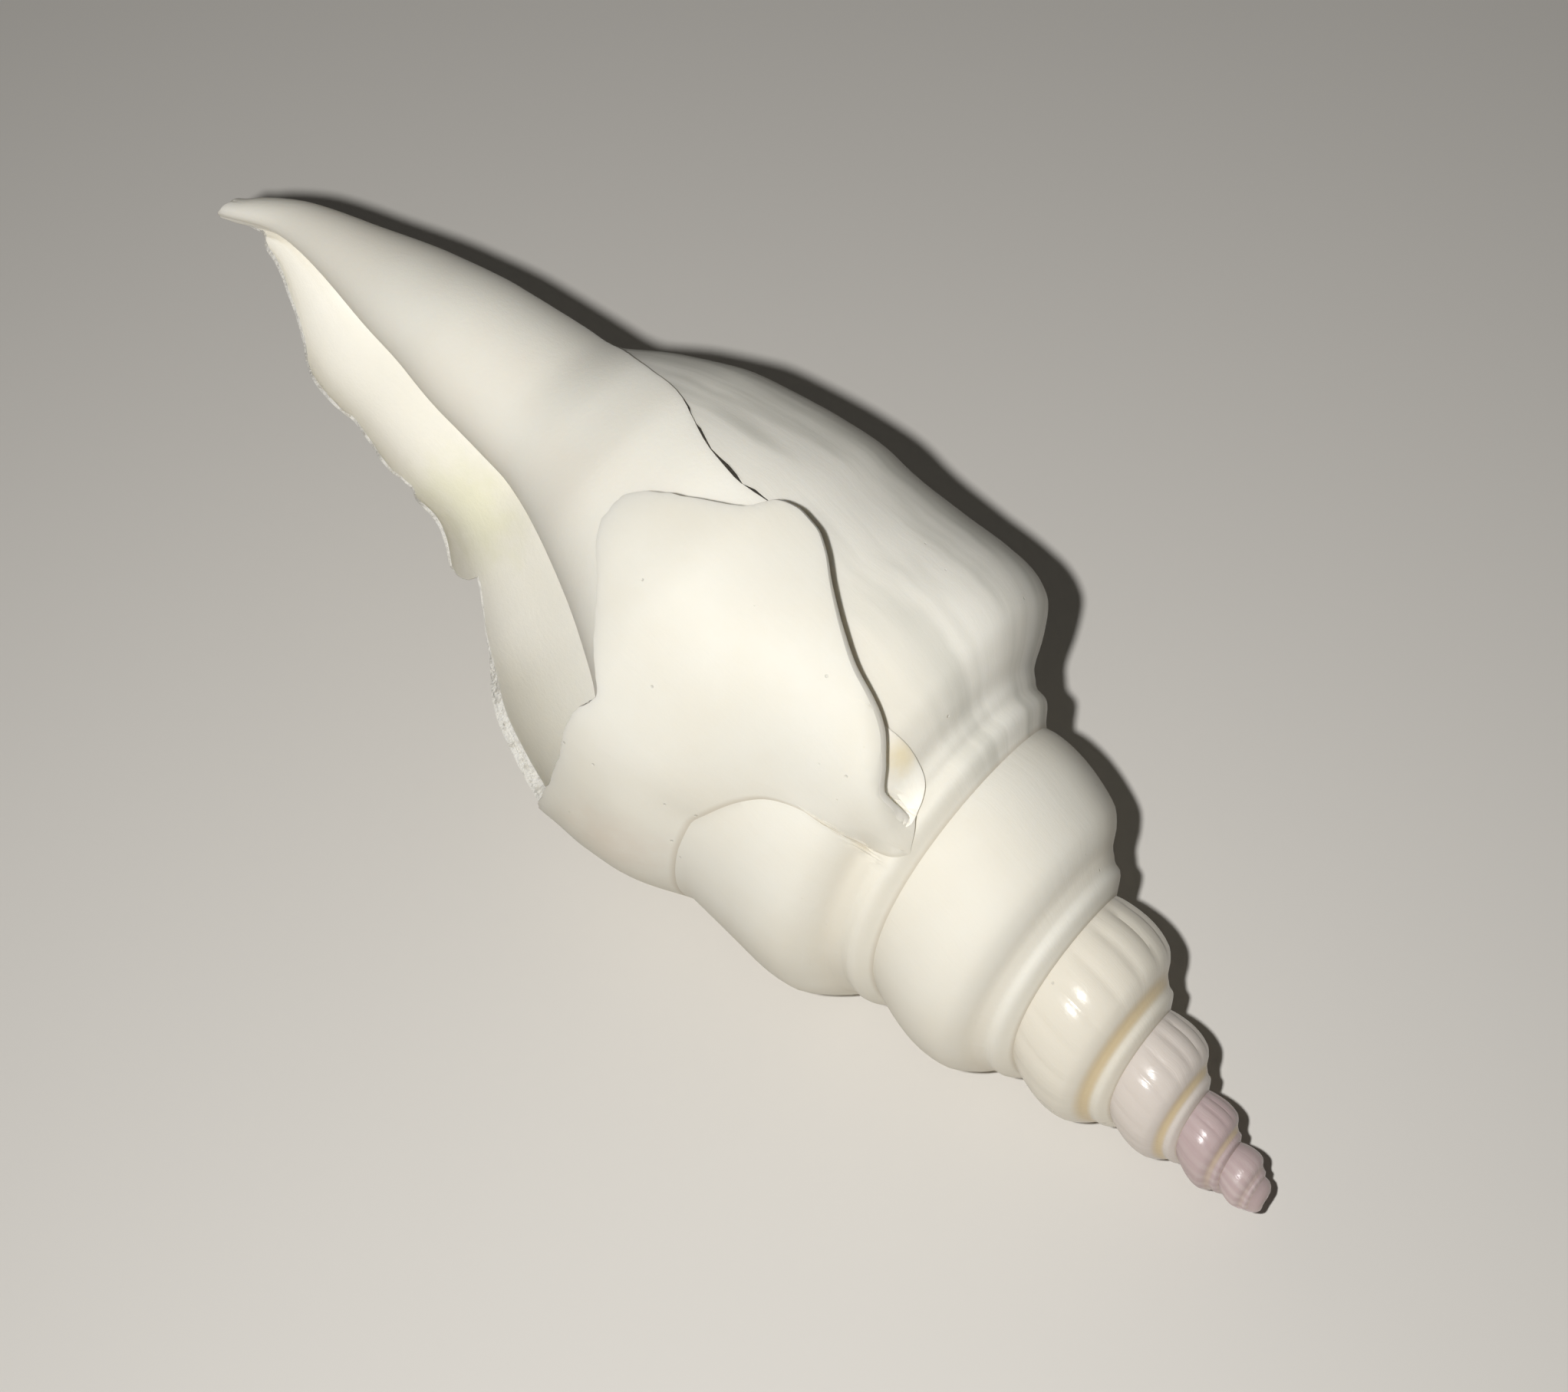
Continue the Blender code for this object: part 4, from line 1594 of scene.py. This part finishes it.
@dataclass(frozen=True)
class OuterLayer(ShellFinish):
    """Worn white outside, with lilac early whorls and tan sutures; a thin painted shade lines each suture,
    and painted light makes the last whorl's right flank paler.
    """

    white: Colour = (0.80, 0.77, 0.68, 1.0)
    warm: Colour = (0.765, 0.72, 0.61, 1.0)
    streak: Colour = (0.60, 0.585, 0.51, 1.0)
    # Painted light: a paler colour for the last whorl's right flank, standing in for light falling there.
    painted_lit_flank: Colour = (0.89, 0.86, 0.77, 1.0)
    spire: Colour = (0.75, 0.70, 0.595, 1.0)
    lilac: Colour = (0.50, 0.39, 0.38, 1.0)
    pale_rib: Colour = (0.60, 0.505, 0.48, 1.0)
    blush: Colour = (0.66, 0.595, 0.535, 1.0)
    tan: Colour = (0.66, 0.52, 0.30, 1.0)
    # Painted shade: a dark line for the crease at each suture.
    seam: Colour = (0.50, 0.42, 0.31, 1.0)
    ribs_per_turn: int = 19
    specular: float = 0.3
    fineness: float = 90.0
    bump: float = 0.000018

    mottled: Pair = (0.35, 0.68)
    mottle_share: float = 0.75
    lit_flank_begins: Pair = (0.03, 0.13)
    lit_flank_ends: Pair = (0.48, 0.32)
    streaked: Pair = (0.42, 0.62)
    streak_share: float = 0.85
    rib_span: Pair = (0.8, -1.2)
    blotch: float = 0.8
    spire_turns: Pair = (-0.9, -1.5)
    blush_turns: Pair = (-2.1, -2.9)
    lilac_turns: Pair = (-3.25, -3.75)
    groove_begins: Pair = (0.13, 0.19)
    groove_ends: Pair = (0.30, 0.22)
    tan_begins: Pair = (-1.2, -2.0)
    tan_ends: Pair = (-4.4, -3.6)
    tan_share: float = 0.75
    least_tan: float = 0.1
    tan_stops: Pair = (0.1, -0.1)
    suture_shade_span: Pair = (0.025, 0.0)
    suture_shade_turns: Pair = (0.985, 0.95)
    suture_shade_share: float = 0.5
    pit_share: float = 0.5
    gloss_turns: Pair = (-1.1, -1.5)
    gloss: float = -0.36
    rough: float = 0.5
    rough_mottle: float = 0.2
    grain_height: float = 0.35
    pit_depth: float = 2.0

    def layers(self, nodes: Nodes, maps: Maps) -> Layers:
        """Colours of the whorls, from the last to the first.

        Args:
            nodes: the material's nodes.
            maps: what the finish reads.

        Returns:
            What it gives its shader.
        """
        worn = maps.worn
        turn, across, _ = nodes.add("SeparateXYZ", {0: maps.growth}).outputs
        mottle = nodes.span(worn["Mottle"], self.mottled)
        colour = nodes.colours(nodes.times(mottle, self.mottle_share), self.white, self.warm)
        # Painted light on the right flank of the last whorl; the same mask also holds the real grey growth
        # streaks there.
        right = nodes.band(turn, self.lit_flank_begins, self.lit_flank_ends)
        colour = nodes.colours(right, colour, self.painted_lit_flank)
        streaks = nodes.times(nodes.span(maps.lines["Streaks"], self.streaked), right)
        colour = nodes.colours(nodes.times(streaks, self.streak_share), colour, self.streak)
        rib = nodes.math("COSINE", nodes.times(turn, 2 * math.pi * self.ribs_per_turn))
        ribbed = nodes.times(nodes.span(rib, self.rib_span), mottle)
        pink = nodes.colours(ribbed, self.lilac, self.pale_rib)
        uneven = nodes.times(nodes.math("SUBTRACT", worn["Mottle"], 0.5), self.blotch)
        grown = nodes.plus(turn, uneven)
        colour = nodes.colours(nodes.span(turn, self.spire_turns), colour, self.spire)
        colour = nodes.colours(nodes.span(grown, self.blush_turns), colour, self.blush)
        colour = nodes.colours(nodes.span(grown, self.lilac_turns), colour, pink)
        groove = nodes.band(across, self.groove_begins, self.groove_ends)
        tanned = nodes.times(nodes.band(turn, self.tan_begins, self.tan_ends), self.tan_share)
        tanned = nodes.times(nodes.plus(tanned, self.least_tan), groove)
        tanned = nodes.times(tanned, nodes.span(turn, self.tan_stops))
        colour = nodes.colours(tanned, colour, self.tan)
        # Painted shade: a thin dark line just below each suture, standing in for the crease's shadow.
        seam = nodes.times(nodes.span(across, self.suture_shade_span), nodes.span(turn, self.suture_shade_turns))
        colour = nodes.colours(nodes.times(seam, self.suture_shade_share), colour, self.seam)
        colour = nodes.colours(nodes.times(worn["Pits"], self.pit_share), colour, self.streak)
        glossy = nodes.times(nodes.span(turn, self.gloss_turns), self.gloss)
        rough = nodes.plus(glossy, nodes.times(worn["Mottle"], self.rough_mottle))
        height = nodes.plus(maps.lines["Lines"], nodes.times(worn["Grain"], self.grain_height))
        height = nodes.math("SUBTRACT", height, nodes.times(worn["Pits"], self.pit_depth))
        return Layers(colour, nodes.plus(rough, self.rough), height)


@dataclass(frozen=True)
class Glaze(ShellFinish):
    """Smooth porcelain-like glaze of the columella and the lip."""

    pale: Colour = (0.945, 0.905, 0.80, 1.0)
    warm: Colour = (0.915, 0.86, 0.745, 1.0)
    fineness: float = 40.0
    bump: float = 0.000012
    mottled: Pair = (0.38, 0.64)
    mottle_share: float = 0.7
    rough: float = 0.4
    rough_mottle: float = 0.2
    line_height: float = 0.4

    def layers(self, nodes: Nodes, maps: Maps) -> Layers:
        """Colour, roughness and height of the glaze.

        Args:
            nodes: the material's nodes.
            maps: what the finish reads.

        Returns:
            What it gives its shader.
        """
        mottle = nodes.span(maps.worn["Mottle"], self.mottled)
        colour = nodes.colours(nodes.times(mottle, self.mottle_share), self.pale, self.warm)
        rough = nodes.plus(nodes.times(maps.worn["Mottle"], self.rough_mottle), self.rough)
        height = nodes.plus(nodes.times(maps.lines["Lines"], self.line_height), maps.worn["Grain"])
        return Layers(colour, rough, height)


@dataclass(frozen=True)
class InnerWall(ShellFinish):
    """Cream inside of the wall."""

    cream: Colour = (0.95, 0.915, 0.82, 1.0)
    shade: Colour = (0.94, 0.90, 0.785, 1.0)
    mottled: Pair = (0.4, 0.66)
    mottle_share: float = 0.5
    rough: float = 0.4

    def layers(self, nodes: Nodes, maps: Maps) -> Layers:
        """Colour, roughness and height of the inside.

        Args:
            nodes: the material's nodes.
            maps: what the finish reads.

        Returns:
            What it gives its shader.
        """
        mottle = nodes.span(maps.worn["Mottle"], self.mottled)
        colour = nodes.colours(nodes.times(mottle, self.mottle_share), self.cream, self.shade)
        return Layers(colour, self.rough, nodes.plus(maps.lines["Lines"], maps.worn["Grain"]))


@dataclass(frozen=True)
class Fracture(ShellFinish):
    """Chalky broken face of the wall."""

    chalk: Colour = (0.84, 0.81, 0.73, 1.0)
    grit: Colour = (0.55, 0.52, 0.45, 1.0)
    bump: float = 0.00015
    crumbs: NoiseGrain = NoiseGrain(1800.0, 4.0, 0.7)
    gritty: Pair = (0.48, 0.68)
    grit_share: float = 0.8
    rough: float = 0.8

    def layers(self, nodes: Nodes, maps: Maps) -> Layers:
        """Colour, roughness and height of the break.

        Args:
            nodes: the material's nodes.
            maps: what the finish reads.

        Returns:
            What it gives its shader.
        """
        crumble = nodes.noise(maps.position, self.crumbs)
        share = nodes.times(nodes.span(crumble, self.gritty), self.grit_share)
        colour = nodes.colours(share, self.chalk, self.grit)
        return Layers(colour, self.rough, nodes.plus(crumble, maps.worn["Grain"]))


@dataclass(frozen=True)
class PaintedShadeCrack(ShellFinish):
    """Painted shade on the step and crack beside the edge of the glaze, standing in for the shadow under
    the glaze's edge.
    """

    # Painted shade: dark and paler brown, mottled, for the shadow under the glaze's edge.
    crack_shade: Colour = (0.085, 0.07, 0.05, 1.0)
    paler_crack_shade: Colour = (0.27, 0.24, 0.19, 1.0)
    crumbs: NoiseGrain = NoiseGrain(1500.0, 3.0, 0.6)
    crumbly: Pair = (0.5, 0.66)
    rough: float = 0.85

    def layers(self, nodes: Nodes, maps: Maps) -> Layers:
        """Colour and roughness of the painted shade in the crack."""
        share = nodes.span(nodes.noise(maps.position, self.crumbs), self.crumbly)
        return Layers(nodes.colours(share, self.crack_shade, self.paler_crack_shade), self.rough)


@dataclass
class Stage:
    """Pale table, small lamp, even room light and the camera.

    The camera's distance, aim and width of view are millimetres; the table's and the
    lamp's sizes and places are metres.
    """

    shell: ConchShell
    floor_colour: Colour = (0.69, 0.66, 0.61, 1.0)
    floor_rough: float = 0.75
    floor_size: float = 1.2
    view_share: float = 0.13
    axis_slant: float = -46.5
    distance: float = 150.0
    view_width: float = 70.43
    nearest: float = 0.001
    sensor: float = 36.0
    aim: Triple = (-34.2, 0.07, 0.0)
    lamp_power: float = 0.169
    lamp_width: float = 0.004
    lamp_away: float = 0.132
    lamp_left: float = 0.0125
    lamp_above: float = 0.001
    room_colour: Colour = (0.90, 0.88, 0.84, 1.0)
    room_strength: float = 0.056

    def __post_init__(self) -> None:
        """Works out the camera's axes from the shell's own frame."""
        turned = self.shell.pose.turned
        across = Vector((self.view_share, 0, math.sqrt(1 - self.view_share**2)))
        self.towards = (turned.to_3x3() @ across).normalized()
        self.target = turned @ (Vector(self.aim) * MM) + self.shell.offset
        axis = turned.to_3x3() @ Vector((1, 0, 0))
        flat = (axis - axis.project(self.towards)).normalized()
        self.right = Matrix.Rotation(math.radians(-self.axis_slant), 3, self.towards) @ flat
        self.up = self.towards.cross(self.right)

    def make_floor(self) -> bpy.types.Object:
        """The pale table top.

        Returns:
            The floor, with its material.
        """
        shape = bmesh.new()
        bmesh.ops.create_grid(shape, x_segments=1, y_segments=1, size=self.floor_size / 2)
        mesh = bpy.data.meshes.new("table_top")
        shape.to_mesh(mesh)
        shape.free()
        floor = bpy.data.objects.new("table_top", mesh)
        bpy.context.scene.collection.objects.link(floor)
        material = bpy.data.materials.new("matt table")
        material.use_nodes = True
        shader = material.node_tree.nodes["Principled BSDF"]
        Nodes(material.node_tree).feed(
            shader, {"Base Color": self.floor_colour, "Roughness": self.floor_rough}
        )
        mesh.materials.append(material)
        return floor

    def make_lamp(self) -> None:
        """Adds the small lamp beside the camera, which faces the shell."""
        lamp = bpy.data.lights.new("lamp", "AREA")
        lamp.shape = "DISK"
        lamp.energy = self.lamp_power
        lamp.size = self.lamp_width
        obj = bpy.data.objects.new("lamp", lamp)
        beside = self.target + self.towards * self.lamp_away - self.right * self.lamp_left
        obj.location = beside + self.up * self.lamp_above
        obj.rotation_euler = (self.target - obj.location).to_track_quat("-Z", "Y").to_euler()
        bpy.context.scene.collection.objects.link(obj)

    def light_room(self) -> None:
        """Adds an even room light, and shows colours as they are."""
        world = bpy.data.worlds.new("room")
        world.use_nodes = True
        background = world.node_tree.nodes["Background"]
        Nodes(world.node_tree).feed(
            background, {"Color": self.room_colour, "Strength": self.room_strength}
        )
        bpy.context.scene.world = world
        bpy.context.scene.view_settings.view_transform = "Standard"

    def make_camera(self) -> None:
        """Adds the camera, looking down on the shell from its left."""
        camera = bpy.data.cameras.new("camera")
        camera.sensor_width = self.sensor
        camera.lens = self.sensor * self.distance / self.view_width
        camera.clip_start = self.nearest
        obj = bpy.data.objects.new("camera", camera)
        axes = Matrix((self.right, self.up, self.towards)).transposed().to_4x4()
        obj.matrix_world = Matrix.Translation(self.target + self.towards * self.distance * MM) @ axes
        bpy.context.scene.collection.objects.link(obj)
        bpy.context.scene.camera = obj


def main() -> None:
    """Builds the shell, dresses it and sets it on the stage."""
    logging.basicConfig(level=logging.INFO, format="%(message)s")
    shell = ConchShell()
    piece = shell.build()
    shell.dress()
    log.info("%s: %d faces", piece.name, len(piece.data.polygons))
    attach(piece, "root")
    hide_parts(NODE)
    stage = Stage(shell)
    floor = stage.make_floor()
    log.info("%s: pale matt stage", floor.name)
    stage.make_lamp()
    stage.light_room()
    stage.make_camera()


if __name__ == "__main__":
    main()
